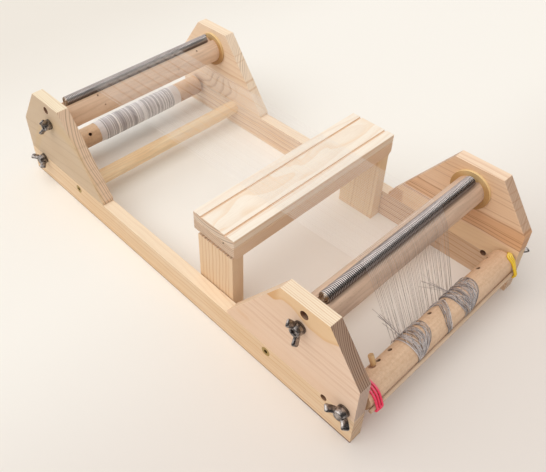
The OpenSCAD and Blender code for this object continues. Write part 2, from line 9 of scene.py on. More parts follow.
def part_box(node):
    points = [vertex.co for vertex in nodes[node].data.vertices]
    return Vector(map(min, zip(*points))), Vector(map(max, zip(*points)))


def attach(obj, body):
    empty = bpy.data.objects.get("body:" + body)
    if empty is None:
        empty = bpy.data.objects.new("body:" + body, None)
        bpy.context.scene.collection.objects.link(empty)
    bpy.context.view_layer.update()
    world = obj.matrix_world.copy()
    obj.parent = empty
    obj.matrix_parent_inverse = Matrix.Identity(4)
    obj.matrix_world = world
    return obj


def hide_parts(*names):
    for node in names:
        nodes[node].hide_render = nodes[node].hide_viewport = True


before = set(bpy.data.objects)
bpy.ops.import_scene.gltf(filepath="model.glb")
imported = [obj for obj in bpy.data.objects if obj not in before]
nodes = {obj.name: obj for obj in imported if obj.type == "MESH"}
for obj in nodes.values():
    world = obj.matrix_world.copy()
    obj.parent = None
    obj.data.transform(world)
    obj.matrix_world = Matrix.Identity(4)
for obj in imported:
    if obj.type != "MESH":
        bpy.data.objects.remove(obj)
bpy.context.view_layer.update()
MM = 0.001


# Camera
# A short telephoto view from above the loom's near left corner, with the picture's middle a little
# below and right of the lens axis.
CAMERA_TURN = math.radians(-41.46)
CAMERA_RISE = math.radians(42.2)
CAMERA_ROLL = math.radians(-1.31)
CAMERA_PLACE = Vector((-386.81, -396.84, 531.78)) * MM
FOCAL_PX = 659.16
PICTURE_W = 546
AXIS_PX = (228.8, 201.7)
MIDDLE_PX = (273, 236)

back = Vector((
    math.sin(CAMERA_TURN) * math.cos(CAMERA_RISE),
    -math.cos(CAMERA_TURN) * math.cos(CAMERA_RISE),
    math.sin(CAMERA_RISE),
))
level = Vector((math.cos(CAMERA_TURN), math.sin(CAMERA_TURN), 0))
upright = back.cross(level)
right = level * math.cos(CAMERA_ROLL) + upright * math.sin(CAMERA_ROLL)
up = upright * math.cos(CAMERA_ROLL) - level * math.sin(CAMERA_ROLL)

lens = bpy.data.cameras.new("camera")
lens.sensor_width = 36
lens.lens = FOCAL_PX / PICTURE_W * lens.sensor_width
lens.shift_x = (MIDDLE_PX[0] - AXIS_PX[0]) / PICTURE_W
lens.shift_y = (AXIS_PX[1] - MIDDLE_PX[1]) / PICTURE_W
lens.clip_start = 0.02
camera = bpy.data.objects.new("camera", lens)
camera.matrix_world = Matrix.Translation(CAMERA_PLACE) @ Matrix((right, up, back)).transposed().to_4x4()
bpy.context.scene.collection.objects.link(camera)
bpy.context.scene.camera = camera
bpy.context.scene.view_settings.view_transform = "Standard"


# Materials, and the table under the loom
# The loom stands on a pale, warm sheet that darkens a little towards the near end. Every finish is
# built node by node, with its pattern laid out in the loom's own millimetres and its colours written
# as they are seen, from 0 to 255.
class Amount:
    """A number that varies over a surface. Sums and products of it add Math nodes."""

    def __init__(self, shading, socket):
        self.shading = shading
        self.socket = socket

    def math(self, kind, *values):
        made = self.shading.add("Math", {"operation": kind}, dict(enumerate(values)))
        return Amount(self.shading, made.outputs[0])

    def __add__(self, other):
        return self.math("ADD", self, other)

    def __radd__(self, other):
        return self.math("ADD", other, self)

    def __sub__(self, other):
        return self.math("SUBTRACT", self, other)

    def __rsub__(self, other):
        return self.math("SUBTRACT", other, self)

    def __mul__(self, other):
        return self.math("MULTIPLY", self, other)

    def __rmul__(self, other):
        return self.math("MULTIPLY", other, self)

    def __truediv__(self, other):
        return self.math("DIVIDE", self, other)

    def __pow__(self, other):
        return self.math("POWER", self, other)

    def __abs__(self):
        return self.math("ABSOLUTE", self)

    def part(self):
        """What is left above the whole number below."""
        return self.math("FRACT", self)

    def whole(self):
        return self.math("FLOOR", self)

    def larger(self, other):
        return self.math("MAXIMUM", self, other)

    def between(self, low, high):
        """0 below low, 1 above high, and a smooth rise between. The two may stand in either order."""
        settings = {"interpolation_type": "SMOOTHSTEP"}
        made = self.shading.add("MapRange", settings, {"Value": self, "From Min": low, "From Max": high})
        return Amount(self.shading, made.outputs["Result"])


class Shading:
    """The nodes of one material, or of the room."""

    def __init__(self, owner):
        owner.use_nodes = True
        self.tree = owner.node_tree

    def add(self, kind, settings=None, inputs=None):
        """A node of that type, with its settings made first and then the values or links of its sockets."""
        made = self.tree.nodes.new("ShaderNode" + kind)
        for setting, value in (settings or {}).items():
            setattr(made, setting, value)
        for socket, value in (inputs or {}).items():
            self.feed(made.inputs[socket], value)
        return made

    def feed(self, socket, value):
        if isinstance(value, Amount):
            self.tree.links.new(value.socket, socket)
        elif isinstance(value, bpy.types.NodeSocket):
            self.tree.links.new(value, socket)
        else:
            socket.default_value = value

    def vector(self, kind, first, second=None, **others):
        inputs = {0: first}
        if second is not None:
            inputs[1] = second
        inputs.update(others)
        return self.add("VectorMath", {"operation": kind}, inputs).outputs[0]

    def split(self, vector):
        made = self.add("SeparateXYZ", None, {0: vector})
        return [Amount(self, socket) for socket in made.outputs]

    def join(self, x, y, z):
        return self.add("CombineXYZ", None, {0: x, 1: y, 2: z}).outputs[0]

    def noise(self, vector, scale=1.0, detail=2.0, roughness=0.5, warp=0.0):
        inputs = {"Vector": vector, "Scale": scale, "Detail": detail, "Roughness": roughness, "Distortion": warp}
        return Amount(self, self.add("TexNoise", None, inputs).outputs["Fac"])

    def cells(self, vector, scale=1.0):
        inputs = {"Vector": vector, "Scale": scale}
        return Amount(self, self.add("TexVoronoi", None, inputs).outputs["Distance"])

    def chance(self, value):
        """A fixed random number from 0 to 1 for each whole value."""
        made = self.add("TexWhiteNoise", {"noise_dimensions": "1D"}, {"W": value})
        return Amount(self, made.outputs["Value"])

    def mix(self, factor, first, second):
        made = self.add("Mix", {"data_type": "RGBA"}, {"Factor": factor, 6: first, 7: second})
        return made.outputs[2]


class Finish(Shading):
    """One procedural material on one Principled shader."""

    def __init__(self, name, **plain):
        self.material = bpy.data.materials.new(name)
        super().__init__(self.material)
        self.shader = self.tree.nodes["Principled BSDF"]
        for socket, value in plain.items():
            self.shader.inputs[socket.replace("_", " ")].default_value = value
        self.coordinates = self.add("TexCoord")
        self.place = self.vector("SCALE", self.coordinates.outputs["Object"], Scale=1 / MM)
        self.x, self.y, self.z = self.split(self.place)

    def normal(self):
        """The surface's own direction, in the loom's axes at rest."""
        return self.split(self.coordinates.outputs["Normal"])

    def strand(self):
        """A fixed random number from 0 to 1 for each loose strand of a mesh."""
        return Amount(self, self.add("NewGeometry").outputs["Random Per Island"])

    def colour(self, value):
        self.feed(self.shader.inputs["Base Color"], value)

    def rough(self, value):
        self.feed(self.shader.inputs["Roughness"], value)

    def bump(self, height, depth_mm, strength=1.0):
        inputs = {"Strength": strength, "Distance": depth_mm * MM, "Height": height}
        self.feed(self.shader.inputs["Normal"], self.add("Bump", None, inputs).outputs[0])


def seen(red, green, blue):
    """A colour from 0 to 255 as a picture shows it, as the shader's own values."""
    values = [channel / 255 for channel in (red, green, blue)]
    return [v / 12.92 if v <= 0.04045 else ((v + 0.055) / 1.055) ** 2.4 for v in values] + [1]


def make_object(name, mesh, material):
    made = bpy.data.objects.new(name, mesh)
    mesh.materials.append(material)
    bpy.context.scene.collection.objects.link(made)
    return made


TABLE_HALF = 4.0

sheet = Finish("table_sheet", Roughness=0.9, Specular_IOR_Level=0.1)
sheet_drift = sheet.noise(sheet.place, 0.004, 1.0) * 60 - 30
sheet_near = (sheet.y + sheet.x * 0.15 + sheet_drift).between(40, -300)
sheet_away = (sheet.y + sheet_drift).between(250, 600)
sheet_tone = sheet.mix(sheet_near, seen(248, 246, 241), seen(230, 224, 219))
sheet_tone = sheet.mix(sheet_away, sheet_tone, seen(238, 234, 227))
# Painted light: the sheet is made paler inside the loom, where the loom's own shadow falls.
sheet_painted_light = abs(sheet.x).between(150, 60) * abs(sheet.y + 120).between(190, 60)
sheet.colour(sheet.mix(sheet_painted_light * 0.8, sheet_tone, seen(255, 251, 246)))

table_mesh = bpy.data.meshes.new("table")
table_mesh.from_pydata(
    [(x * TABLE_HALF, y * TABLE_HALF, -0.1 * MM) for x, y in ((-1, -1), (1, -1), (1, 1), (-1, 1))],
    [], [(0, 1, 2, 3)],
)
make_object("table", table_mesh, sheet.material)


# Light
# A wide soft lamp high over the loom's left side and an even room round it, which shows white. Metal
# mirrors a bright window at the far side and a dim room at the near one.
ROOM_LIGHT = 0.55
ROOM_SHOWN = 0.92
KEY_TURN = Vector((-0.42, 0.12, 0.9))
KEY_STRENGTH = 1.65
KEY_WIDTH = math.radians(70)
WINDOW_GLEAM = 1.4
WINDOW_DIM = 0.12

room = bpy.data.worlds.new("room")
bpy.context.scene.world = room
sky = Shading(room)
rays = sky.add("LightPath")
towards = sky.split(sky.add("TexCoord").outputs["Generated"])
shown = Amount(sky, rays.outputs["Is Camera Ray"]).larger(rays.outputs["Is Transmission Ray"])
mirrored = Amount(sky, rays.outputs["Is Glossy Ray"])
window = towards[1].between(0.0, 0.6) * WINDOW_GLEAM + WINDOW_DIM - ROOM_LIGHT
backdrop = sky.tree.nodes["Background"]
backdrop.inputs["Color"].default_value = seen(255, 252, 248)
sky.feed(backdrop.inputs["Strength"], shown * (ROOM_SHOWN - ROOM_LIGHT) + mirrored * window + ROOM_LIGHT)

key = bpy.data.lights.new("key", "SUN")
key.energy = KEY_STRENGTH
key.angle = KEY_WIDTH
key.color = seen(255, 251, 246)[:3]
key_lamp = bpy.data.objects.new("key", key)
key_lamp.rotation_mode = "QUATERNION"
key_lamp.rotation_quaternion = KEY_TURN.to_track_quat("Z", "Y")
bpy.context.scene.collection.objects.link(key_lamp)


# Rails and cheeks
# Six boards of planed pine, each cut from its own place in the tree, so the yearly rings run
# through it as rings round a far-off middle. The cheeks are glued on the rails and lightly sanded.
EASED_EDGE = 0.5 * MM


def ease(node, width=EASED_EDGE):
    """The rounded edge that sanding leaves on a CAD piece."""
    made = nodes[node]
    weld = made.modifiers.new("weld", "WELD")
    weld.merge_threshold = 2e-6
    flat = made.modifiers.new("flat", "DECIMATE")
    flat.decimate_type = "DISSOLVE"
    flat.angle_limit = math.radians(1)
    edge = made.modifiers.new("edge", "BEVEL")
    edge.width = width
    edge.segments = 2
    edge.limit_method = "ANGLE"
    edge.angle_limit = math.radians(30)
    edge.use_clamp_overlap = False


def dress(node, finish):
    """Gives a CAD piece its finish."""
    for slot in nodes[node].material_slots:
        slot.material = finish.material


def middle(node):
    low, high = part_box(node)
    return (low + high) / 2


class Pine(Finish):
    """Pine cut lengthwise along axis grain. pith is the tree's middle, in mm from the board's own middle
    along the two other axes in order, ring the width of a year's growth, late the strength of its dark
    part, and calm how far that is weaker on the wide faces, square to axis wide. The faces that look up
    take the paler tone top as painted light, and the sawn ends are end_tone with lines of strength end_late."""

    def __init__(self, name, node, grain, pith, ring, late, wide, calm=0.5,
                 base=(246, 220, 192), dark=(196, 142, 92), top=(254, 236, 210), end_tone=(196, 168, 146),
                 end_late=0.6):
        super().__init__(name, Specular_IOR_Level=0.3)
        axes = [self.x, self.y, self.z]
        along = axes.pop(grain)
        centre = list(middle(node) / MM)
        centre.pop(grain)
        a = axes[0] - (centre[0] + pith[0])
        b = axes[1] - (centre[1] + pith[1])
        drift = self.noise(self.join(axes[0] * 0.014, axes[1] * 0.014, along * 0.005), 1.0, 1.5) - 0.5
        self.waver = self.noise(self.join(axes[0] * 0.03, axes[1] * 0.03, along * 0.02), 1.0, 1.0) - 0.5
        radius = (a * a + b * b) ** 0.5 + drift * 14 + self.waver * 2 + along * 0.01
        years = radius / ring + self.noise(self.join(radius * 0.08, 0.0, 0.0), 1.0, 0.0) * 3
        phase = years.part()
        line = phase.between(0.4, 0.92) * phase.between(1.0, 0.95)
        line = line * (self.chance(years.whole()) * 0.65 + 0.35)
        line = line * (self.noise(self.join(radius * 0.05, 7.0, 0.0), 1.0, 1.0).between(0.3, 0.6) * 0.5 + 0.5)
        self.line = line * (1 - abs(self.normal()[wide]).between(0.4, 0.9) * calm)
        self.fibre = self.noise(self.join(axes[0] * 3.0, axes[1] * 3.0, along * 0.07), 1.0, 3.0, 0.6) - 0.5
        broad = self.noise(self.join(axes[0] * 0.02, axes[1] * 0.02, along * 0.008), 1.0, 2.0)
        self.tone = self.mix(broad.between(0.3, 0.7), seen(*base), seen(base[0] - 5, base[1] - 9, base[2] - 14))
        # Painted light: faces that look up are mixed towards the paler tone top.
        self.tone = self.mix(self.normal()[2].between(0.8, 0.98) * 0.7, self.tone, seen(*top))
        self.tone = self.mix(self.line * late, self.tone, seen(*dark))
        end = abs(self.normal()[grain]).between(0.3, 0.95)
        self.tone = self.mix(end * 0.6, self.tone, seen(*end_tone))
        self.tone = self.mix(end * (line * 1.5).between(0, 1) * end_late, self.tone, seen(92, 66, 50))
        self.tone = self.mix(self.fibre * 0.6 + 0.06, self.tone, seen(200, 160, 124))
        self.colour(self.tone)
        self.rough(0.62 - self.line * 0.12 + self.fibre * 0.2)
        self.bump(self.line * 0.5 + self.fibre * 0.5, 0.12, 0.5)

    def lines(self, across, tone, rows):
        """Lines of late wood. Each row is the line's place across the grain, its half width and strength."""
        for place, half, strength in rows:
            near = abs(across + self.waver * 5 - place).between(half, half * 0.2)
            self.tone = self.mix(near * strength * (0.8 + self.fibre), self.tone, seen(*tone))
        self.colour(self.tone)

    def patch(self, where, strength, tone):
        """A stain where that amount is 1."""
        self.tone = self.mix(where * strength, self.tone, seen(*tone))
        self.colour(self.tone)

    def bore(self, y, z, radius):
        """Painted shade on the inside of a drilled hole along X."""
        away = ((self.y - y) ** 2.0 + (self.z - z) ** 2.0) ** 0.5
        hole_shade = away.between(radius + 0.5, radius + 0.2) * abs(self.normal()[0]).between(0.9, 0.5)
        self.patch(hole_shade, 0.85, (112, 70, 44))


left_rail = Pine("pine_left_rail", "left_rail", 1, (44, -60), 3.4, 0.4, 0, 0.3, base=(237, 211, 179))
left_rail.lines(left_rail.z, (206, 156, 98), ((28, 1.2, 0.45), (21, 1.5, 0.5), (16, 0.9, 0.4), (5, 1.6, 0.5)))
right_rail = Pine("pine_right_rail", "right_rail", 1, (-60, 44), 3.2, 0.5, 0, 0.2)
# Painted shadow: a dark line along the foot of the rail's outer face, where it meets the table, darker towards the
# near end.
rail_foot_shadow = left_rail.z.between(2.2, 1.2) * left_rail.x.between(-129, -129.4)
left_rail.patch(rail_foot_shadow, 0.6, (140, 98, 70))
left_rail.patch(rail_foot_shadow * left_rail.y.between(-180, -204), 0.8, (104, 62, 52))
# Painted shade on the near half of the rail's inner face, and painted light on its far half.
inside = right_rail.x.between(117, 116.3) * right_rail.y.between(-50, -150)
right_rail.patch(inside, 0.35, (158, 112, 76))
right_rail.patch(right_rail.x.between(117, 116.3) * right_rail.y.between(60, 160), 0.35, (255, 240, 220))
right_rail.lines(right_rail.z, (178, 120, 74), ((30, 0.9, 0.5), (24, 0.9, 0.6), (18, 0.8, 0.6), (10, 1.2, 0.6)))

# Its dark end_tone is painted shade for the end grain of the slope that faces the near end.
near_left = Pine(
    "pine_near_left_cheek", "near_left_cheek", 1, (150, -10), 1.75, 0.75, 0, 0.86,
    base=(241, 213, 190), dark=(210, 156, 106), top=(255, 242, 216), end_tone=(132, 98, 80), end_late=0.85,
)
near_left.lines(near_left.z, (198, 150, 112), (
    (84.5, 2.6, 0.28), (80.5, 1.4, 0.16), (75, 2.2, 0.3), (71, 1.2, 0.14), (66, 2.8, 0.28), (58, 1.4, 0.14), (93, 1.4, 0.16),
))
outer = near_left.x.between(-126, -128) * abs(near_left.normal()[0]).between(0.5, 0.9)
near_lobe = abs(near_left.y + 207 + near_left.waver * 10).between(30, 6) * 9
far_lobe = abs(near_left.y + 155 + near_left.waver * 6).between(16, 3) * 8
rise = near_left.z - 114 + near_lobe + far_lobe
amber = rise.between(-0.6, 1.4) * outer
near_left.patch(amber, 0.5, (236, 196, 134))
near_left.patch(amber * rise.between(6, 0), 0.35, (214, 158, 96))
near_left.patch(amber * abs(near_left.y + 154).between(14, 4), 0.5, (206, 146, 84))
# Painted light and shade on the end grain by facing: the ends that face the far side are painted back pale, the
# slope that faces the near end darker still, and the upright near end paler.
near_left.patch(near_left.normal()[1].between(0.3, 0.6), 0.8, (240, 214, 186))
facing_near = near_left.normal()[1].between(-0.3, -0.6)
near_left.patch(facing_near * near_left.normal()[2].between(0.15, 0.35), 0.32, (96, 68, 54))
near_left.patch(facing_near * near_left.normal()[2].between(0.15, 0.05), 0.32, (224, 206, 196))
low_stain = abs(near_left.y + 122).between(12, 4) * abs(near_left.z + near_left.waver * 6 - 52).between(4, 1.5)
near_left.patch(low_stain * outer, 0.3, (220, 172, 120))

near_right = Pine(
    "pine_near_right_cheek", "near_right_cheek", 1, (46, -60), 2.6, 0.5, 0, 0.5,
    base=(244, 212, 182), dark=(196, 134, 86), top=(255, 232, 208), end_tone=(152, 124, 110), end_late=0.12,
)
heart = (near_right.z + near_right.waver * 7).between(57, 60) * (near_right.z + near_right.waver * 7).between(82, 76)
heart = heart * (0.35 + near_right.y.between(-165, -185) * 0.65)
near_right.patch(heart, 0.55, (212, 154, 102))
near_right.lines(near_right.z, (164, 104, 62), (
    (58.5, 1.0, 0.7), (63, 0.9, 0.6), (67.5, 0.9, 0.65), (69.5, 0.6, 0.5), (79, 1.4, 0.6), (86, 0.8, 0.3),
    (100, 0.9, 0.35), (107, 0.7, 0.4), (114, 0.9, 0.3),
))
pale = (near_right.z + near_right.waver * 7).between(57, 54)
near_right.patch(pale, 0.35, (244, 214, 166))
dark_knot = abs(near_right.y + 108 + near_right.waver * 6).between(13, 9) * abs(near_right.z - 42).between(9, 6)
near_right.patch(dark_knot, 0.55, (196, 138, 88))

far_left = Pine(
    "pine_far_left_cheek", "far_left_cheek", 1, (120, -10), 2.6, 0.6, 0, 0.75, base=(238, 212, 182),
    dark=(190, 146, 104), top=(255, 246, 220), end_tone=(228, 198, 174), end_late=0.5,
)
# Painted shade: the cheek's outer face, looking to the left, is made greyer and darker.
far_left.patch(far_left.normal()[0].between(-0.5, -0.9), 0.6, (188, 168, 144))
far_left.lines(far_left.z + far_left.y * 0.12, (168, 138, 104), (
    (108, 2.0, 0.2), (97, 2.4, 0.2), (84, 1.6, 0.15), (70, 2.2, 0.2), (58, 1.6, 0.15),
))
sweep = far_left.z - 102 + ((far_left.y - 178) / 9) ** 2.0 + far_left.waver * 8
far_left.patch(abs(sweep).between(15, 2) * far_left.x.between(-126, -128), 0.3, (210, 176, 118))

far_right = Pine(
    "pine_far_right_cheek", "far_right_cheek", 1, (58, -30), 2.4, 0.5, 0, 0.5, base=(254, 232, 208),
    end_tone=(255, 238, 216), end_late=0.3,
)
far_right.lines(far_right.z, (206, 158, 108), ((75, 1.8, 0.5), (66, 1.4, 0.5), (97, 1.0, 0.35), (104, 1.0, 0.35)))
away = ((far_right.y - 222) ** 2.0 * 0.8 + (far_right.z - 64) ** 2.0) ** 0.5 + far_right.waver * 22
rings = (away / 9.5).part()
rings = rings.between(0.45, 0.85) * rings.between(1.0, 0.9) * away.between(70, 55) * away.between(14, 22)
rings = rings * far_right.z.between(66, 58) * far_right.y.between(232, 222)
far_right.patch(rings, 0.5, (190, 152, 112))
far_right.patch(abs(far_right.y - 228).between(14, 6) * abs(far_right.z - 34).between(16, 4), 0.35, (196, 154, 116))
for cheek in (near_left, near_right):
    cheek.bore(-192.6, 116, 4.25)
for cheek in (far_left, far_right):
    cheek.bore(199.4, 116, 4.25)
for board in (left_rail, right_rail, near_left, near_right):
    board.bore(-221.6, 31.5, 3.25)

for board, wood in (
    ("left_rail", left_rail), ("right_rail", right_rail), ("near_left_cheek", near_left),
    ("near_right_cheek", near_right), ("far_left_cheek", far_left), ("far_right_cheek", far_right),
):
    dress(board, wood)
    ease(board, 0.1 * MM if "rail" in board else EASED_EDGE)


# Crossbars and their screws
# Two stock dowels of a warmer, straight-grained wood, each held by a yellow countersunk screw
# through either rail, with a hexagon socket that shows dark.
def straight_wood(name, node, base, streak, flecks=0.5, grain=0, bands=0.25):
    """Fine, even wood with short dark flecks along axis grain."""
    wood = Finish(name, Specular_IOR_Level=0.35)
    axes = [wood.x, wood.y, wood.z]
    along = axes.pop(grain)
    centre = list(middle(node) / MM)
    centre.pop(grain)
    fine = wood.noise(wood.join(along * 0.08, axes[0] * 2.4, axes[1] * 2.4), 1.0, 3.0, 0.6) - 0.5
    broad = wood.noise(wood.join(along * 0.012, axes[0] * 0.09, axes[1] * 0.09), 1.0, 2.0, 0.5, 0.6)
    spot = wood.cells(wood.join(along * 0.42, axes[0] * 2.2, axes[1] * 2.2))
    fleck = spot.between(0.34, 0.12) * wood.noise(wood.place, 0.25, 1.0).between(0.4, 0.62)
    layers = (axes[0] - centre[0] - 18) * 0.35 + broad * 2.6
    arcs = layers.part().between(0.3, 0.9) * layers.part().between(1.0, 0.9)
    deep = [round(c * 0.8) for c in streak]
    tone = wood.mix(broad.between(0.3, 0.7), seen(*base), seen(*streak))
    tone = wood.mix(arcs * bands, tone, seen(*deep))
    tone = wood.mix(fine * 0.7 + 0.08, tone, seen(*deep))
    tone = wood.mix(fleck * flecks, tone, seen(*[round(c * 0.6) for c in streak]))
    end = abs(wood.normal()[grain]).between(0.5, 0.95)
    wood.tone = wood.mix(end * 0.45, tone, seen(168, 128, 92))
    wood.colour(wood.tone)
    wood.rough(0.55 + fine * 0.25 - fleck * 0.1)
    wood.bump(fine * 0.6 - fleck * 0.5, 0.06, 0.5)
    return wood


for crossbar, base, streak in (
    ("near_crossbar", (238, 206, 162), (224, 184, 134)),
    ("far_crossbar", (255, 232, 196), (246, 212, 168)),
):
    dress(crossbar, straight_wood("dowel_" + crossbar, crossbar, base, streak, 0.15))

yellow_plate = Finish("yellow_plate", Metallic=1.0)
plate_drift = yellow_plate.noise(yellow_plate.place, 0.7, 3.0)
worn = yellow_plate.noise(yellow_plate.place, 4.0, 4.0)
plate = yellow_plate.mix(plate_drift, seen(196, 170, 104), seen(150, 130, 88))
# Painted shade down in the hexagon socket, past the face of the screw head.
deep = abs(yellow_plate.x).between(129.6, 128.0)
yellow_plate.colour(yellow_plate.mix(deep * 0.85, plate, seen(30, 24, 16)))
yellow_plate.rough(0.3 + worn * 0.25)
yellow_plate.bump(worn, 0.05, 0.4)
dress("crossbar_screws", yellow_plate)


# Upper rollers and their flanges
# Turned beech, with a shallow groove along the top for the spring, and a ring of yellow plywood
# glued on each end, so the spring rollers turn between the cheeks. The far one has a few pin holes.
near_beech = straight_wood("beech_near_upper_roller", "near_upper_roller", (226, 196, 172), (208, 176, 152), 0.4)
# Painted shadow of the spring on the roller's lower-facing side, towards its left end.
painted_spring_shadow = near_beech.x.between(-40, -100) * near_beech.normal()[2].between(0.9, 0.3)
near_beech.tone = near_beech.mix(painted_spring_shadow * 0.4, near_beech.tone, seen(140, 114, 98))
spring_middle = middle("near_spring") / MM
from_spring = ((near_beech.y - spring_middle.y) ** 2.0 + (near_beech.z - spring_middle.z) ** 2.0) ** 0.5
# Painted contact shadow: a dark band on the roller close round the spring, along it up to its left end.
painted_contact_shadow = from_spring.between(8.8, 6.5) * near_beech.x.between(-110, -100)
near_beech.colour(near_beech.mix(painted_contact_shadow * 0.5, near_beech.tone, seen(96, 72, 58)))
dress("near_upper_roller", near_beech)
far_beech = straight_wood("beech_far_upper_roller", "far_upper_roller", (240, 210, 184), (226, 192, 164), 0.3)
# The pin holes are dark spots of painted shade; no hole is cut.
for pin in ((-67.7, 189.0, 113.3), (-64.1, 181.0, 102.7), (81.3, 187.9, 112.7), (45.9, 181.2, 103.2)):
    away = Amount(far_beech, far_beech.add("VectorMath", {"operation": "DISTANCE"}, {0: far_beech.place, 1: pin}).outputs["Value"])
    far_beech.tone = far_beech.mix(away.between(1.1, 0.7), far_beech.tone, seen(72, 44, 28))
far_shade = far_beech.x.between(-30, -100) * 0.3
far_beech.colour(far_beech.mix(far_shade, far_beech.tone, seen(200, 156, 114)))
dress("far_upper_roller", far_beech)

PLY_THICK = 1.0
plywood = Finish("plywood", Specular_IOR_Level=0.3)
ply_fine = plywood.noise(plywood.join(plywood.x * 0.8, plywood.y * 2.0, plywood.z * 0.25), 1.0, 3.0)
ply_layer = (abs(plywood.x) / PLY_THICK).part()
ply_rim = abs(plywood.normal()[0]).between(0.9, 0.5)
ply_line = ply_layer.between(0.8, 0.9) * ply_layer.between(1.0, 0.95) * ply_rim
# Painted shade on the rim where it faces down.
ply_low_shade = plywood.normal()[2].between(0.45, -0.5) * ply_rim
ply = plywood.mix(ply_fine, seen(206, 164, 108), seen(184, 142, 92))
# Painted shade towards the flanges' lower part, and painted light towards their top.
ply = plywood.mix(plywood.z.between(112, 84) * 0.5, ply, seen(158, 114, 74))
ply = plywood.mix(plywood.z.between(108, 119) * 0.5, ply, seen(244, 216, 164))
ply = plywood.mix(ply_rim * 0.7, ply, seen(246, 220, 166))
ply = plywood.mix(ply_low_shade * 0.75, ply, seen(170, 124, 80))
plywood.colour(plywood.mix(ply_line * 0.35, ply, seen(170, 120, 66)))
plywood.rough(0.5 + (ply_fine - 0.5) * 0.3)
plywood.bump(ply_fine, 0.08, 0.5)
for ring_pair in ("near_flanges", "far_flanges"):
    dress(ring_pair, plywood)


# Springs
# Springs wound almost close of 1.7 mm steel wire, lying in the rollers' grooves. The near one is polished,
# and the far one is dull.
def tube_mesh(name, lines, thick, sides):
    """Round tubes of one thickness along lines of points, all in one mesh."""
    verts = []
    faces = []
    turns = [2 * math.pi * k / sides for k in range(sides)]
    for line in lines:
        points = [Vector(p) for p in line]
        last = len(points) - 1
        first_vert = len(verts)
        side = None
        for i, point in enumerate(points):
            ahead = (points[min(i + 1, last)] - points[max(i - 1, 0)]).normalized()
            if side is None:
                side = ahead.orthogonal()
            side = (side - ahead * side.dot(ahead)).normalized()
            other = ahead.cross(side)
            for turn in turns:
                verts.append(point + (side * math.cos(turn) + other * math.sin(turn)) * thick / 2)
        for i in range(last):
            a = first_vert + i * sides
            for k in range(sides):
                j = (k + 1) % sides
                faces.append((a + k, a + j, a + sides + j, a + sides + k))
        faces.append([first_vert + k for k in reversed(range(sides))])
        faces.append([first_vert + last * sides + k for k in range(sides)])
    mesh = bpy.data.meshes.new(name)
    mesh.from_pydata(verts, [], faces)
    mesh.shade_smooth()
    return mesh


def add_piece(name, mesh, finish, body, slot, *stands_for):
    """One piece of the loom: it rides on a body, takes a finish and may stand for CAD nodes; slot is not used."""
    made = make_object(name, mesh, finish.material)
    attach(made, body)
    if stands_for:
        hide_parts(*stands_for)
    return made


def polar(axis, radius, turn):
    """A point at that turn, in degrees, round an axis given as (y, z)."""
    angle = math.radians(turn)
    return axis[0] + radius * math.cos(angle), axis[1] + radius * math.sin(angle)


def coil(low_x, turns, axis, radius, pitch, steps):
    """Points of one unbroken helix along X."""
    points = []
    for i in range(int(turns * steps) + 1):
        points.append((low_x + pitch * i / steps, *polar(axis, radius, 360 * i / steps)))
    return points


WIRE = 1.74 * MM
CURL_PITCH = 1.9 * MM
CURL_STEPS = 20


def steel(name, start, axis, crest, front, tones, edges, curl_gap_shade, rough):
    """Wire steel, with painted shade down between the curls round that axis, from start on, and crest the curls'
    radius. Its tones follow each other from the back to that front, and change over the edges, in mm: painted
    light and shade across the wire, with a painted highlight in the middle."""
    wire = Finish(name, Metallic=1.0)
    rub = wire.noise(wire.place, 1.4, 3.0)
    wear = wire.noise(wire.join(wire.x * 0.05, wire.y * 0.2, wire.z * 0.2), 1.0, 2.0)
    y = wire.y - axis[0] / MM
    z = wire.z - axis[1] / MM
    away = (y * y + z * z) ** 0.5
    forward = y * front[0] + z * front[1]
    # Painted highlight and painted shade: tones across the wire from its back to its front.
    tone = wire.mix(forward.between(edges[0], edges[1]), seen(*tones[0]), seen(*tones[1]))
    tone = wire.mix(forward.between(edges[2], edges[3]), tone, seen(*tones[2]))
    tone = wire.mix(wear.between(0.3, 0.7) * 0.25, tone, seen(96, 90, 90))
    past_end = wire.x.between(start / MM - 0.3, start / MM + 0.5)
    tone = wire.mix((1 - past_end) * 0.7, tone, seen(176, 164, 150))
    # Painted shade down between the curls.
    down = away.between(crest / MM - 0.15, crest / MM - 0.55) * past_end
    wire.colour(wire.mix(down * curl_gap_shade, tone, seen(44, 40, 40)))
    wire.rough(rough + (rub - 0.5) * 0.2)
    wire.bump(rub, 0.02, 0.4)
    return wire


def closed_end(x, axis, radius, steps):
    """Points of the flat curls that close a spring's end, from the middle out to the first full curl."""
    points = []
    count = int(radius / WIRE * steps)
    for i in range(count):
        points.append((x, *polar(axis, radius * (i + 1) / count, 360 * (i - count) / steps)))
    return points


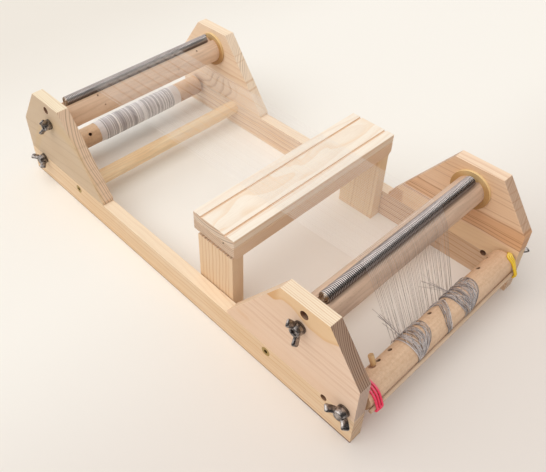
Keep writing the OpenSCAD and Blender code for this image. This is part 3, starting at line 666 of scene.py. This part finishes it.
SPRINGS = {
    # body, how far its left end runs past the CAD's in mm, finish, its front, tones of painted light and shade,
    # their edges, painted shade between the curls, roughness
    "near_spring": (
        "near_spring_roller", 0.8, "bright_spring_steel", (-0.893, -0.449),
        ((190, 181, 179), (250, 243, 241), (142, 130, 125)), (-2.6, -0.6, 0.8, 2.8), 0.88, 0.24,
    ),
    "far_spring": (
        "far_spring_roller", 0.0, "dull_spring_steel", (-0.573, -0.82),
        ((166, 158, 156), (255, 249, 248), (136, 124, 119)), (-3.6, -2.2, 1.2, 3.0), 0.6, 0.3,
    ),
}
spring_axes = {}
curls_from = {}
for node, (body, left_over, finish, front, tones, edges, curl_gap_shade, rough) in SPRINGS.items():
    low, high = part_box(node)
    low.x -= left_over * MM
    axis = ((low.y + high.y) / 2, (low.z + high.z) / 2)
    spring_axes[node] = axis
    curls_from[node] = low.x + WIRE
    turns = (high.x - low.x - 2 * WIRE) / CURL_PITCH
    spring_r = (high.z - low.z) / 2 * 1.06
    wire_line = closed_end(curls_from[node], axis, spring_r - WIRE / 2, CURL_STEPS)
    wire_line += coil(curls_from[node], turns, axis, spring_r - WIRE / 2, CURL_PITCH, CURL_STEPS)
    spring_steel = steel(finish, curls_from[node], axis, spring_r, front, tones, edges, curl_gap_shade, rough)
    add_piece("wound_" + node, tube_mesh(node + "_wire", [wire_line], WIRE, 8), spring_steel, body, "spring_steel", node)


# Lower rollers, pegs and the tie rod
# Beech rollers with a row of peg holes. A short dowel stands in the near one, a stub in the far one,
# and a thin rod lies along the near one to hold the warp's knots.
for roller, base, streak in (
    ("near_lower_roller", (233, 202, 172), (224, 191, 160)),
    ("far_lower_roller", (234, 204, 172), (216, 184, 152)),
):
    wood = straight_wood("beech_" + roller, roller, base, streak, 0.3, 0, 0.1)
    axis = middle(roller) / MM
    off_axis = ((wood.y - axis.y) ** 2.0 + (wood.z - axis.z) ** 2.0) ** 0.5
    # Painted shade down in the roller's holes.
    deep = off_axis.between(12.9, 11.5) * abs(wood.x).between(111.5, 110)
    # Painted shade on the roller's underside.
    underside_shade = wood.normal()[2].between(0.35, -0.3) * off_axis.between(12, 12.8)
    mottle = wood.noise(wood.place, 0.35, 3.0, 0.65)
    tone = wood.mix(mottle.between(0.4, 0.65) * 0.3, wood.tone, seen(196, 156, 122))
    tone = wood.mix(wood.x.between(10, 95) * 0.22, tone, seen(190, 150, 118))
    tone = wood.mix(underside_shade * 0.35, tone, seen(150, 106, 78))
    wood.tone = wood.mix(deep * 0.8, tone, seen(96, 62, 42))
    if roller == "near_lower_roller":
        # Painted shade round the foot of the peg, where it enters the roller.
        peg_root_shade = ((wood.x + 86.3) ** 2.0 + (wood.y + 235.8) ** 2.0 + (wood.z - 49.7) ** 2.0) ** 0.5
        wood.tone = wood.mix(peg_root_shade.between(4.0, 3.0) * 0.8, wood.tone, seen(116, 66, 42))
    wood.colour(wood.tone)
    dress(roller, wood)
dress("tie_rod", straight_wood("dowel_tie_rod", "tie_rod", (218, 192, 166), (202, 174, 146), 0.2))
peg_wood = straight_wood("dowel_stop_peg", "stop_peg", (234, 202, 156), (212, 174, 124), 0.3, 2)
dress("far_peg", straight_wood("dowel_far_peg", "far_peg", (226, 190, 142), (206, 166, 116), 0.3, 2))

PEG_TURN = 54
PEG_LEAN = 1.9
PEG_SHAPE = [  # off the roller's axis and radius, in mm
    (4.1, 1.7), (4.4, 2.15), (12.4, 2.2), (13.2, 2.6), (21.4, 2.75), (22.2, 2.5), (22.6, 1.9),
]
peg_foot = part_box("stop_peg")
peg_x = (peg_foot[0].x + peg_foot[1].x) / 2
peg_axis = (middle("near_lower_roller").y, middle("near_lower_roller").z)
peg_verts = []
for reach, radius in PEG_SHAPE:
    lean = PEG_LEAN * max(reach - 12.4, 0) / 12.1
    centre = Vector((peg_x + lean * MM, *polar(peg_axis, reach * MM, PEG_TURN)))
    for k in range(24):
        angle = 2 * math.pi * k / 24
        across = Vector((0.0, *polar((0.0, 0.0), radius * MM * math.sin(angle), PEG_TURN + 90)))
        peg_verts.append(centre + across + Vector((radius * MM * math.cos(angle), 0.0, 0.0)))
peg_faces = [tuple(range(23, -1, -1)), tuple(len(peg_verts) - 24 + k for k in range(24))]
for i in range(len(PEG_SHAPE) - 1):
    for k in range(24):
        j = (k + 1) % 24
        peg_faces.append((24 * i + k, 24 * i + j, 24 * i + 24 + j, 24 * i + 24 + k))
peg_mesh = bpy.data.meshes.new("leaning_peg")
peg_mesh.from_pydata(peg_verts, [], peg_faces)
peg_mesh.set_sharp_from_angle(angle=math.radians(40))
add_piece("leaning_peg", peg_mesh, peg_wood, "peg", "dowel", "stop_peg")


# Studs, washers and lock nuts
# M6 threaded steel with bright zinc plate, a plain washer under each wing nut, and a thin lock nut
# on either side of the lower rollers.
def zinc(name, thread_pitch=0.0, pale=(186, 182, 180), dark=(136, 131, 128)):
    """Zinc plate, with a thread cut round X where a pitch is given."""
    plated = Finish(name, Metallic=1.0)
    drift = plated.noise(plated.place, 0.3, 2.0)
    fine = plated.noise(plated.place, 3.5, 4.0, 0.6)
    plated.colour(plated.mix(drift.between(0.35, 0.65), seen(*pale), seen(*dark)))
    plated.rough(0.2 + fine * 0.16)
    if thread_pitch:
        groove = abs((plated.x / thread_pitch).part() - 0.5) * 2
        plated.bump(groove, 0.5, 1.0)
    else:
        plated.bump(fine * 0.4 + drift * 0.6, 0.15, 0.5)
    return plated


bright_zinc = zinc("bright_zinc")
threaded_zinc = zinc("threaded_zinc", 1.0)
dull_zinc = zinc("dull_zinc", 0.0, (138, 132, 129), (104, 99, 96))
for row in ("near_upper", "near_lower", "far_upper", "far_lower"):
    dress(row + "_studs", threaded_zinc)
    dress(row + "_washers", dull_zinc)
for end in ("near", "far"):
    dress(end + "_lock_nuts", bright_zinc)


# Wing nuts
# Cast, with a round hub and two flared wings of rounded bar, turned by hand and left at any angle.
# They clamp the rollers against the cheeks.
HUB_SIDES = 28
WING_SIDES = 20
WING_SWELL = 2.6


def hub_shape(bore_r, low_r, high_r, height):
    """The hub's outline, from the bore's foot out and round to the bore again: radius and height in mm."""
    return [
        (bore_r, 0.0), (low_r - 0.3, 0.0), (low_r, 0.3), (low_r, 0.9), (high_r + 0.35, height - 1.2),
        (high_r + 0.1, height - 0.4), (high_r - 0.35, height), (bore_r + 0.55, height),
        (bore_r + 0.1, height - 0.45), (bore_r, height - 1.0), (bore_r, 0.0),
    ]


def wing_rings(root_out, root_up, tip_out, tip_up, bar_w, tip_w, thick):
    """Middle, width and thickness of a wing's sections, in mm, from inside the hub to its rounded tip."""
    rings = []
    for k in range(13):
        share = k / 12
        swing = share ** 0.85
        out = root_out + (tip_out - root_out) * swing
        up_by = root_up + (tip_up - root_up) * share ** 1.15
        width = bar_w + (tip_w - bar_w) * share ** 2
        left = (1 - share) * 12
        close = 1.0 if left > 3 else math.sqrt(max(1 - ((3 - left) / 3.15) ** 2, 0.02))
        rings.append((out, up_by, width * (0.55 + 0.45 * close) if left < 3 else width, thick * close))
    return rings


def wing_nut_mesh(name):
    """A wing nut built on the CAD one's stud axis, foot and turn."""
    low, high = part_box(name)
    axis = middle(name)
    side = 1 if axis.x > 0 else -1
    foot = low.x if side > 0 else high.x
    fold_a = 0.0
    fold_b = 0.0
    span = 0.0
    for vert in nodes[name].data.vertices:
        y = vert.co.y - axis.y
        z = vert.co.z - axis.z
        reach = math.hypot(y, z)
        span = max(span, reach)
        if reach > 10 * MM:
            fold_a += y * y - z * z
            fold_b += 2 * y * z
    turn = math.atan2(fold_b, fold_a) / 2
    height = (high.x - low.x) / MM
    verts = []
    faces = []

    def place(up_by, out, across):
        """A point of the nut: up along the stud, out along the wings and across them."""
        y = out * math.cos(turn) - across * math.sin(turn)
        z = out * math.sin(turn) + across * math.cos(turn)
        return foot + side * up_by * MM, axis.y + y * MM, axis.z + z * MM

    outline = hub_shape(3.06, 6.1, 5.1, 6.8)
    for radius, up_by in outline:
        for k in range(HUB_SIDES):
            angle = 2 * math.pi * k / HUB_SIDES
            verts.append(place(up_by, radius * math.cos(angle), radius * math.sin(angle)))
    for i in range(len(outline) - 1):
        for k in range(HUB_SIDES):
            j = (k + 1) % HUB_SIDES
            a = i * HUB_SIDES
            b = a + HUB_SIDES
            faces.append((a + k, a + j, b + j, b + k))
    for way in (1, -1):
        rings = wing_rings(3.8, 3.5, span / MM - 1.7, height - 3.2, 6.6, 8.0, 3.4)
        for i, (out, up_by, width, thick) in enumerate(rings):
            after = rings[min(i + 1, 12)]
            before = rings[max(i - 1, 0)]
            lean = math.atan2(after[1] - before[1], after[0] - before[0])
            for k in range(WING_SIDES):
                angle = 2 * math.pi * k / WING_SIDES
                c = math.copysign(abs(math.cos(angle)) ** (2 / WING_SWELL), math.cos(angle)) * width / 2
                s = math.copysign(abs(math.sin(angle)) ** (2 / WING_SWELL), math.sin(angle)) * thick / 2
                verts.append(place(up_by + c * math.cos(lean), way * (out - c * math.sin(lean)), s))
        first = len(verts) - len(rings) * WING_SIDES
        for i in range(len(rings) - 1):
            for k in range(WING_SIDES):
                j = (k + 1) % WING_SIDES
                a = first + i * WING_SIDES
                b = a + WING_SIDES
                faces.append((a + k, a + j, b + j, b + k))
        faces.append([first + k for k in range(WING_SIDES)])
        faces.append([len(verts) - WING_SIDES + k for k in range(WING_SIDES)])
    mesh = bpy.data.meshes.new(name)
    mesh.from_pydata(verts, [], faces)
    mesh.shade_smooth()
    return mesh


cast_zinc = Finish("cast_zinc", Metallic=1.0)
cast_drift = cast_zinc.noise(cast_zinc.place, 0.3, 2.0)
cast_fine = cast_zinc.noise(cast_zinc.place, 2.4, 4.0, 0.6)
cast_zinc.colour(cast_zinc.mix(cast_drift.between(0.35, 0.65), seen(168, 162, 160), seen(100, 95, 94)))
cast_zinc.rough(0.17 + cast_fine * 0.16)
cast_zinc.bump(cast_fine * 0.35 + cast_drift * 0.65, 0.25, 0.5)
for row in ("near_upper", "near_lower", "far_upper", "far_lower"):
    for side in ("left", "right"):
        nut = f"{row}_{side}_nut"
        add_piece("cast_" + nut, wing_nut_mesh(nut), cast_zinc, f"{row}_{side}_wing_nut", "zinc", nut)


# Bridge
# Two glued pine boards on two legs, with a groove cut along each side of the top and a nail in
# each end. It stands on the table between the rails, under the warp.
bridge_top = Pine(
    "pine_bridge_top", "bridge_top_board", 0, (6, 58), 3.4, 0.45, 2, 0.45, base=(252, 236, 216),
    dark=(222, 176, 128), top=(255, 249, 238), end_tone=(206, 184, 166), end_late=0.5,
)
groove = bridge_top.z.between(114.4, 113.6) * bridge_top.normal()[2].between(-0.2, 0.2)
bridge_top.patch(groove * bridge_top.z.between(111, 112), 0.45, (222, 172, 126))
swirl = bridge_top.noise(bridge_top.join(bridge_top.x * 0.014, bridge_top.y * 0.03, 4.0), 1.0, 1.0, 0.5, 0.6)
swirl = (swirl * 4).part()
swirl = swirl.between(0.45, 0.88) * swirl.between(1.0, 0.92) * abs(bridge_top.y + 64).between(16, 11)
bridge_top.patch(swirl * bridge_top.normal()[2].between(0.8, 0.98), 0.3, (238, 196, 146))
bridge_low = Pine(
    "pine_bridge_low", "bridge_low_board", 0, (-12, 64), 2.8, 0.5, 1, 0.3, base=(240, 212, 184),
    end_tone=(202, 178, 158), end_late=0.6,
)
left_leg = Pine(
    "pine_left_leg", "bridge_left_leg", 2, (10, 90), 2.6, 0.25, 1, 0.5, base=(236, 208, 176), dark=(212, 160, 104),
)
left_leg.lines(left_leg.y + left_leg.z * 0.01, (200, 146, 92), (
    (-86, 0.7, 0.4), (-82, 0.9, 0.65), (-77.5, 0.7, 0.6), (-73, 0.9, 0.7), (-68.5, 0.7, 0.55), (-64, 1.0, 0.65),
    (-59, 0.8, 0.6), (-54.5, 0.9, 0.5), (-49.5, 0.7, 0.55),
))
right_leg = Pine(
    "pine_right_leg", "bridge_right_leg", 2, (8, -66), 3.1, 0.5, 1, 0.5, base=(246, 222, 188), dark=(206, 164, 112),
)
for board, wood in (
    ("bridge_top_board", bridge_top), ("bridge_low_board", bridge_low),
    ("bridge_left_leg", left_leg), ("bridge_right_leg", right_leg),
):
    dress(board, wood)
    ease(board, 0.35 * MM)
dark_nail = Finish("dark_nail", Metallic=1.0, Roughness=0.5)
dark_nail.colour(dark_nail.mix(dark_nail.noise(dark_nail.place, 3.0), seen(90, 84, 80), seen(60, 54, 50)))
dress("bridge_nails", dark_nail)


# Warp
# Fine grey threads, each from the winding on the far lower roller up over both springs and down to
# the near lower roller. On the springs they lie in the valleys between the curls, which space them,
# and under the near spring they run together in pairs.
THREAD = 0.27 * MM
WARP_COUNT = 58
WARP_GAP = 0.35 * MM
ARC_STEPS = 5


def axis_of(node):
    centre = middle(node)
    return centre.y, centre.z


near_lower = axis_of("near_lower_studs")
far_lower = axis_of("far_lower_studs")
near_upper = axis_of("near_flanges")
far_upper = axis_of("far_flanges")
roller_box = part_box("near_lower_roller")
lower_r = (roller_box[1].z - roller_box[0].z) / 2
upper_r = 16 * MM
winding_r = lower_r + 1.35 * MM
bundle_r = lower_r + 1.9 * MM
valley_r = spring_r - WIRE / 2 + math.sqrt(((WIRE + THREAD) / 2) ** 2 - (CURL_PITCH / 2) ** 2)


def leave_turn(first, second):
    """Direction, in degrees, of the taut line's normal between two circles. Each is (y, z) and a signed radius."""
    (y1, z1), r1 = first
    (y2, z2), r2 = second
    apart = math.hypot(y2 - y1, z2 - z1)
    return math.degrees(math.atan2(z2 - z1, y2 - y1) - math.acos((r1 - r2) / apart))


gap = WARP_GAP + THREAD / 2
warp_circles = [
    (far_lower, winding_r + gap),
    (far_upper, upper_r + gap),
    (spring_axes["far_spring"], valley_r),
    (spring_axes["near_spring"], valley_r),
    (near_upper, upper_r + gap),
    (near_lower, -(bundle_r + gap)),
]
leaves = [leave_turn(a, b) for a, b in zip(warp_circles, warp_circles[1:])]
warp_path = []
for i, (axis, radius) in enumerate(warp_circles):
    arrive = leaves[max(i - 1, 0)]
    leave = leaves[min(i, len(leaves) - 1)]
    swing = (leave - arrive + 540) % 360 - 180
    steps = ARC_STEPS if abs(swing) > 0.5 else 0
    for k in range(steps + 1):
        turn = arrive + (swing * k / steps if steps else 0)
        warp_path.append((i, turn, *polar(axis, radius, turn)))

# Left and right edge of the warp at each of those circles
WARP_EDGES = [(-46, 62), (-68, 57.5), (-68.5, 57), (-58.5, 50.5), (-57.5, 50), (-46, 50)]
VALLEYS = {2: "far_spring", 3: "near_spring"}
PAIRED = 0.34
rng = random.Random(7)
strays = [[rng.gauss(0, s) for _ in range(WARP_COUNT)] for s in (0.3, 0.2, 0.0, 0.0, 0.15, 1.1)]
low_contacts = []
warp_lines = []
for n in range(WARP_COUNT):
    share = n / (WARP_COUNT - 1)
    xs = [a + (b - a) * share + strays[i][n] for i, (a, b) in enumerate(WARP_EDGES)]
    apart = (WARP_EDGES[5][1] - WARP_EDGES[5][0]) / WARP_COUNT
    xs[5] += PAIRED * apart * (1 if n % 2 == 0 else -1)
    low_contacts.append(xs[5] * MM)
    line = []
    for i, turn, y, z in warp_path:
        x = xs[i] * MM
        if i in VALLEYS:
            first = curls_from[VALLEYS[i]] + (0.5 + (turn % 360) / 360) * CURL_PITCH
            x = first + round((x - first) / CURL_PITCH) * CURL_PITCH
        line.append((x, y, z))
    warp_lines.append(line)


def thread(name, pale, dark):
    """Twisted thread, each strand a little darker or paler than the next."""
    spun = Finish(name, Roughness=0.55, Sheen_Weight=0.15)
    twist = (spun.y * 1.6 + spun.z * 1.6 + spun.x * 2.0).part()
    twist = twist.between(0.2, 0.5) * twist.between(1.0, 0.7)
    tone = spun.mix(spun.strand(), seen(*dark), seen(*pale))
    spun.tone = spun.mix(twist * 0.25, tone, seen(*[round(c * 0.8) for c in dark]))
    spun.colour(spun.tone)
    spun.rough(0.5 + twist * 0.2)
    return spun


warp_thread = thread("warp_thread", (255, 252, 250), (244, 238, 234))
# Painted shade: the threads that hang below the near roller are greyer.
hanging = warp_thread.y.between(-195, -207)
hung_shade_tone = warp_thread.mix(warp_thread.strand(), seen(140, 130, 128), seen(206, 194, 188))
warp_tone = warp_thread.mix(hanging, warp_thread.tone, hung_shade_tone)
# Painted shade on the threads where they lie down between the springs' curls.
for node, (y, z) in spring_axes.items():
    away = ((warp_thread.y - y / MM) ** 2.0 + (warp_thread.z - z / MM) ** 2.0) ** 0.5
    warp_tone = warp_thread.mix(away.between(7.6, 6.4) * 0.85, warp_tone, seen(122, 114, 114))
warp_thread.colour(warp_tone)
add_piece("warp", tube_mesh("warp", warp_lines, THREAD, 5), warp_thread, "frame", "grey_thread", "warp_threads")


# Winding on the far roller
# A strip of white paper rolled once round the roller, and the spare warp wound over it turn by
# turn, white and grey threads side by side.
PAPER_X = (-55, 75)
WOUND_X = (-47, 64)
WOUND_THREAD = 0.62 * MM
WOUND_PITCH = 0.6 * MM
PAPER_STEPS = 72
PAPER_OVERLAP = 40

paper = Finish("paper", Roughness=0.8)
paper_fibre = paper.noise(paper.place, 1.5, 4.0)
paper.colour(paper.mix(paper_fibre, seen(250, 248, 250), seen(234, 232, 238)))
paper.bump(paper_fibre, 0.08, 0.3)
paper_verts = []
rng = random.Random(11)
edge_waver = [rng.uniform(-0.25, 0.25) for _ in range(PAPER_STEPS + 1)]
for i in range(PAPER_STEPS + 1):
    turn = 150 + (360 + PAPER_OVERLAP) * i / PAPER_STEPS
    radius = lower_r + (0.12 + 0.22 * i / PAPER_STEPS) * MM
    for x in (PAPER_X[0] + edge_waver[i], PAPER_X[1] + edge_waver[-i]):
        paper_verts.append((x * MM, *polar(far_lower, radius, turn)))
paper_mesh = bpy.data.meshes.new("paper")
paper_mesh.from_pydata(paper_verts, [], [(2 * i, 2 * i + 1, 2 * i + 3, 2 * i + 2) for i in range(PAPER_STEPS)])
paper_mesh.shade_smooth()
paper_piece = add_piece("rolled_paper", paper_mesh, paper, "far_warp_roller", "paper", "paper_sleeve")
paper_sheet = paper_piece.modifiers.new("sheet", "SOLIDIFY")
paper_sheet.thickness = 0.12 * MM

wound_thread = Finish("wound_thread", Roughness=0.6)
stripe = wound_thread.chance((wound_thread.x / 0.9).whole())
group = wound_thread.noise(wound_thread.join(wound_thread.x * 0.3, 3.0, 0.0), 1.0, 1.0) - 0.5
stripe = stripe + group * 0.2
wound_tone = wound_thread.mix(stripe.between(0.32, 0.42), seen(186, 183, 187), seen(216, 213, 217))
wound_thread.colour(wound_thread.mix(stripe.between(0.7, 0.78), wound_tone, seen(255, 254, 255)))
wound_turns = (WOUND_X[1] - WOUND_X[0]) * MM / WOUND_PITCH
wound_line = coil(WOUND_X[0] * MM, wound_turns, far_lower, lower_r + 0.75 * MM, WOUND_PITCH, 24)
add_piece(
    "wound_warp", tube_mesh("wound_warp", [wound_line], WOUND_THREAD, 6), wound_thread,
    "far_warp_roller", "white_thread", "warp_roll", "warp_roll_thread",
)


# Thread bundles on the near roller
# The warp ends run under the near roller and on round, drawn together in three groups, pinched under
# the rod and knotted on it. Spare threads lie across them, and two tufts of loose ends stand out.
rod_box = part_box("tie_rod")
rod_axis = axis_of("tie_rod")
rod_r = (rod_box[1].z - rod_box[0].z) / 2
rod_dist = math.hypot(rod_axis[0] - near_lower[0], rod_axis[1] - near_lower[1])
ROD_TURN = 197
CONTACT_TURN = -20
STRAND = 0.36 * MM
PINCHED = 0.1 * MM
BUNDLES = {
    # left and right edge, share of the warp, knots on the rod, dense places, loose threads, drift to the top
    "left_bundle": (-49, -18, 0.36, (-45, -43), (-47, -44, -40), 60, 0),
    "middle_bundle": (-4, 6, 0.16, (0, 2), (1, 3), 14, 12),
    "right_bundle": (22, 57, 0.48, (28, 33), (26, 29, 33), 68, 0),
}
TUFTS = {
    # root: x and turn on the roller, then the middle of the tips off the root
    "left_bundle": (-43.0, 44.0, (4, 29, 2)),
    "right_bundle": (30.0, 44.6, (-10, 25, 2)),
}


def round_roller(x, turn, off):
    """A point off the roller's wood at that turn, carried out over the rod where the rod lies."""
    spread = math.degrees(math.acos((lower_r - rod_r) / rod_dist))
    from_rod = abs((turn - ROD_TURN + 540) % 360 - 180)
    if from_rod < spread:
        return (x, *polar(rod_axis, rod_r + off, turn))
    return (x, *polar(near_lower, lower_r + off, turn))


bundle_thread = thread("bundle_thread", (255, 246, 244), (84, 74, 76))
rng = random.Random(23)
shares = 0.0
for node, (left, right_edge, share, knots, dense, spare, drift) in BUNDLES.items():
    first = round(shares * WARP_COUNT)
    shares += share
    count = round(shares * WARP_COUNT) - first
    low_x = left * MM
    high_x = right_edge * MM
    strands = []
    for n in range(count + spare):
        own = n < count
        spot = low_x + (high_x - low_x) * (n + 0.5) / count if own else rng.uniform(low_x, high_x)
        if n % 5 == 0:
            spot = rng.choice(dense) * MM + rng.gauss(0, 3.0) * MM
        start = low_contacts[first + n] if own else spot
        knot = min(knots, key=lambda at: abs(at * MM - spot)) * MM + rng.gauss(0, 0.9) * MM
        cross = rng.gauss(0, 2.6 if own else 5.0) * MM
        lift = rng.uniform(0.1, 0.9) * MM if own else rng.uniform(0.6, 1.35) * MM
        swing = rng.uniform(0.5, 0.9) if own else rng.uniform(0.8, 2.4)
        phase = rng.uniform(0, 2 * math.pi)
        begin = 0 if own else rng.uniform(135, 200)
        until = 504 if own else begin + rng.uniform(70, 200)
        line = []
        swept = begin
        while swept <= until:
            turn = CONTACT_TURN - swept
            from_rod = abs((turn - ROD_TURN + 540) % 360 - 180)
            draw_in = 1 - 0.95 * math.exp(-((from_rod / 60) ** 2))
            held = min(swept / 110, 1)
            held = held * held * (3 - 2 * held)
            wound = spot + cross * math.sin(math.radians(swept * swing) + phase)
            wound = min(max(wound, low_x), high_x)
            wound = knot + (wound - knot) * draw_in + drift * MM * max(1 - abs(swept - 280) / 75, 0)
            off = PINCHED + (lift - PINCHED) * (1 - math.exp(-((from_rod / 24) ** 2))) + STRAND / 2
            line.append((start + (wound - start) * held, *polar(near_lower, lower_r + off, turn)))
            swept += 9
        strands.append(line)
    for knot in knots:
        for loop in range(12):
            x = knot * MM + rng.gauss(0, 1.1) * MM
            radius = rod_r + rng.uniform(0.2, 0.7) * MM
            slant = rng.gauss(0, 1.0) * MM
            begin = rng.uniform(222, 250)
            strands.append([(x + slant * k / 12, *polar(rod_axis, radius, begin + 16 * k)) for k in range(12)])
    if node in TUFTS:
        root_x, root_turn, tip = TUFTS[node]
        for k in range(8):
            turn = root_turn + rng.gauss(0, 4)
            root = Vector((root_x * MM + rng.gauss(0, 1.2) * MM, *polar(near_lower, bundle_r - 0.3 * MM, turn)))
            reach = Vector((tip[0] + rng.gauss(0, 6.0), tip[1] + rng.gauss(0, 2.0), tip[2] + rng.gauss(0, 3.5))) * MM
            reach *= rng.uniform(0.6, 1.05)
            bow = Vector((0, 0, rng.uniform(0.2, 1.2))) * MM
            strands.append([root + reach * t + bow * 4 * t * (1 - t) for t in [j / 8 for j in range(9)]])
    bundle_mesh = tube_mesh(node, strands, STRAND, 5)
    add_piece("wound_" + node, bundle_mesh, bundle_thread, "near_warp_roller", "grey_thread", node)


# Elastics
# A pink elastic at the left end of the near roller and a yellow one at the right, each wrapped
# round the roller and the rod to hold them together.
def elastic(name, tone, dim):
    made = Finish(name, Roughness=0.45)
    ribs = made.noise(made.place, 1.2, 2.0)
    worn = made.mix(ribs, seen(*tone), seen(*dim))
    # Painted highlight: the faces that look up are paler.
    painted_highlight = [round(c + (255 - c) * 0.45) for c in tone]
    made.colour(made.mix(made.normal()[2].between(0.35, 0.95) * 0.5, worn, seen(*painted_highlight)))
    made.bump(ribs, 0.1, 0.4)
    return made


def through(points, steps=8):
    """A smooth closed line through those points."""
    line = []
    count = len(points)
    for i in range(count):
        p0, p1, p2, p3 = [Vector(points[(i + k - 1) % count]) for k in range(4)]
        for k in range(steps):
            t = k / steps
            line.append(0.5 * (2 * p1 + (p2 - p0) * t + (2 * p0 - 5 * p1 + 4 * p2 - p3) * t ** 2
                               + (3 * p1 - p0 - 3 * p2 + p3) * t ** 3))
    return line + line[:1]


ELASTIC = 2.3
PINK_PITCH = 3.2
PINK_LOW_TURN = 222
pink_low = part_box("pink_elastic")[0].x / MM + 2.7
pink_line = []
for step in range(3 * 40):
    turn = 20 + step * 9
    from_low = abs((turn - PINK_LOW_TURN + 540) % 360 - 180)
    x = pink_low + PINK_PITCH * step / 40
    x = x + (pink_low + 0.5 - x) * math.exp(-((from_low / 28) ** 2)) * 0.8
    pink_line.append(round_roller(x * MM, turn, (ELASTIC / 2 + 0.15 + 0.12 * math.sin(step * 0.9)) * MM))
pink = elastic("pink_elastic", (255, 66, 108), (236, 42, 86))
pink_mesh = tube_mesh("pink", [pink_line], ELASTIC * MM, 10)
add_piece("pink_band", pink_mesh, pink, "near_warp_roller", "pink_elastic", "pink_elastic")

# x, then radius and turn about the roller's axis, in mm and degrees: round the lock nut in the gap
# beside the cheek, over the roller's end and down to the rod
GAP_ROUTE = [(114.4, 12.4, 226), (114.4, 7.4, 300), (114.4, 7.4, 20), (114.4, 7.6, 88)]
YELLOW_ROUTES = [
    [(113.2, 13.6, 104), (109.0, 14.3, 108), (107.4, 14.1, 118), (108.2, 13.9, 142), (107.6, 15.2, 168),
     (107.4, 18.0, 190), (108.6, 17.4, 207)],
    [(113.4, 13.4, 106), (110.6, 14.4, 114), (109.5, 14.3, 125), (110.1, 14.1, 144), (108.5, 15.5, 169),
     (108.3, 18.3, 190), (109.5, 17.6, 207)],
    [(114.0, 13.2, 108), (112.2, 14.2, 124), (111.6, 13.9, 146), (109.4, 15.4, 170), (109.0, 18.1, 190),
     (110.4, 17.4, 208)],
]
yellow_lines = []
for route in YELLOW_ROUTES:
    yellow_lines.append(through([(x * MM, *polar(near_lower, r * MM, turn)) for x, r, turn in GAP_ROUTE + route]))
yellow = elastic("yellow_elastic", (246, 208, 36), (214, 170, 14))
yellow_mesh = tube_mesh("yellow", yellow_lines, ELASTIC * MM, 10)
add_piece("yellow_band", yellow_mesh, yellow, "near_warp_roller", "yellow_elastic", "yellow_elastic")
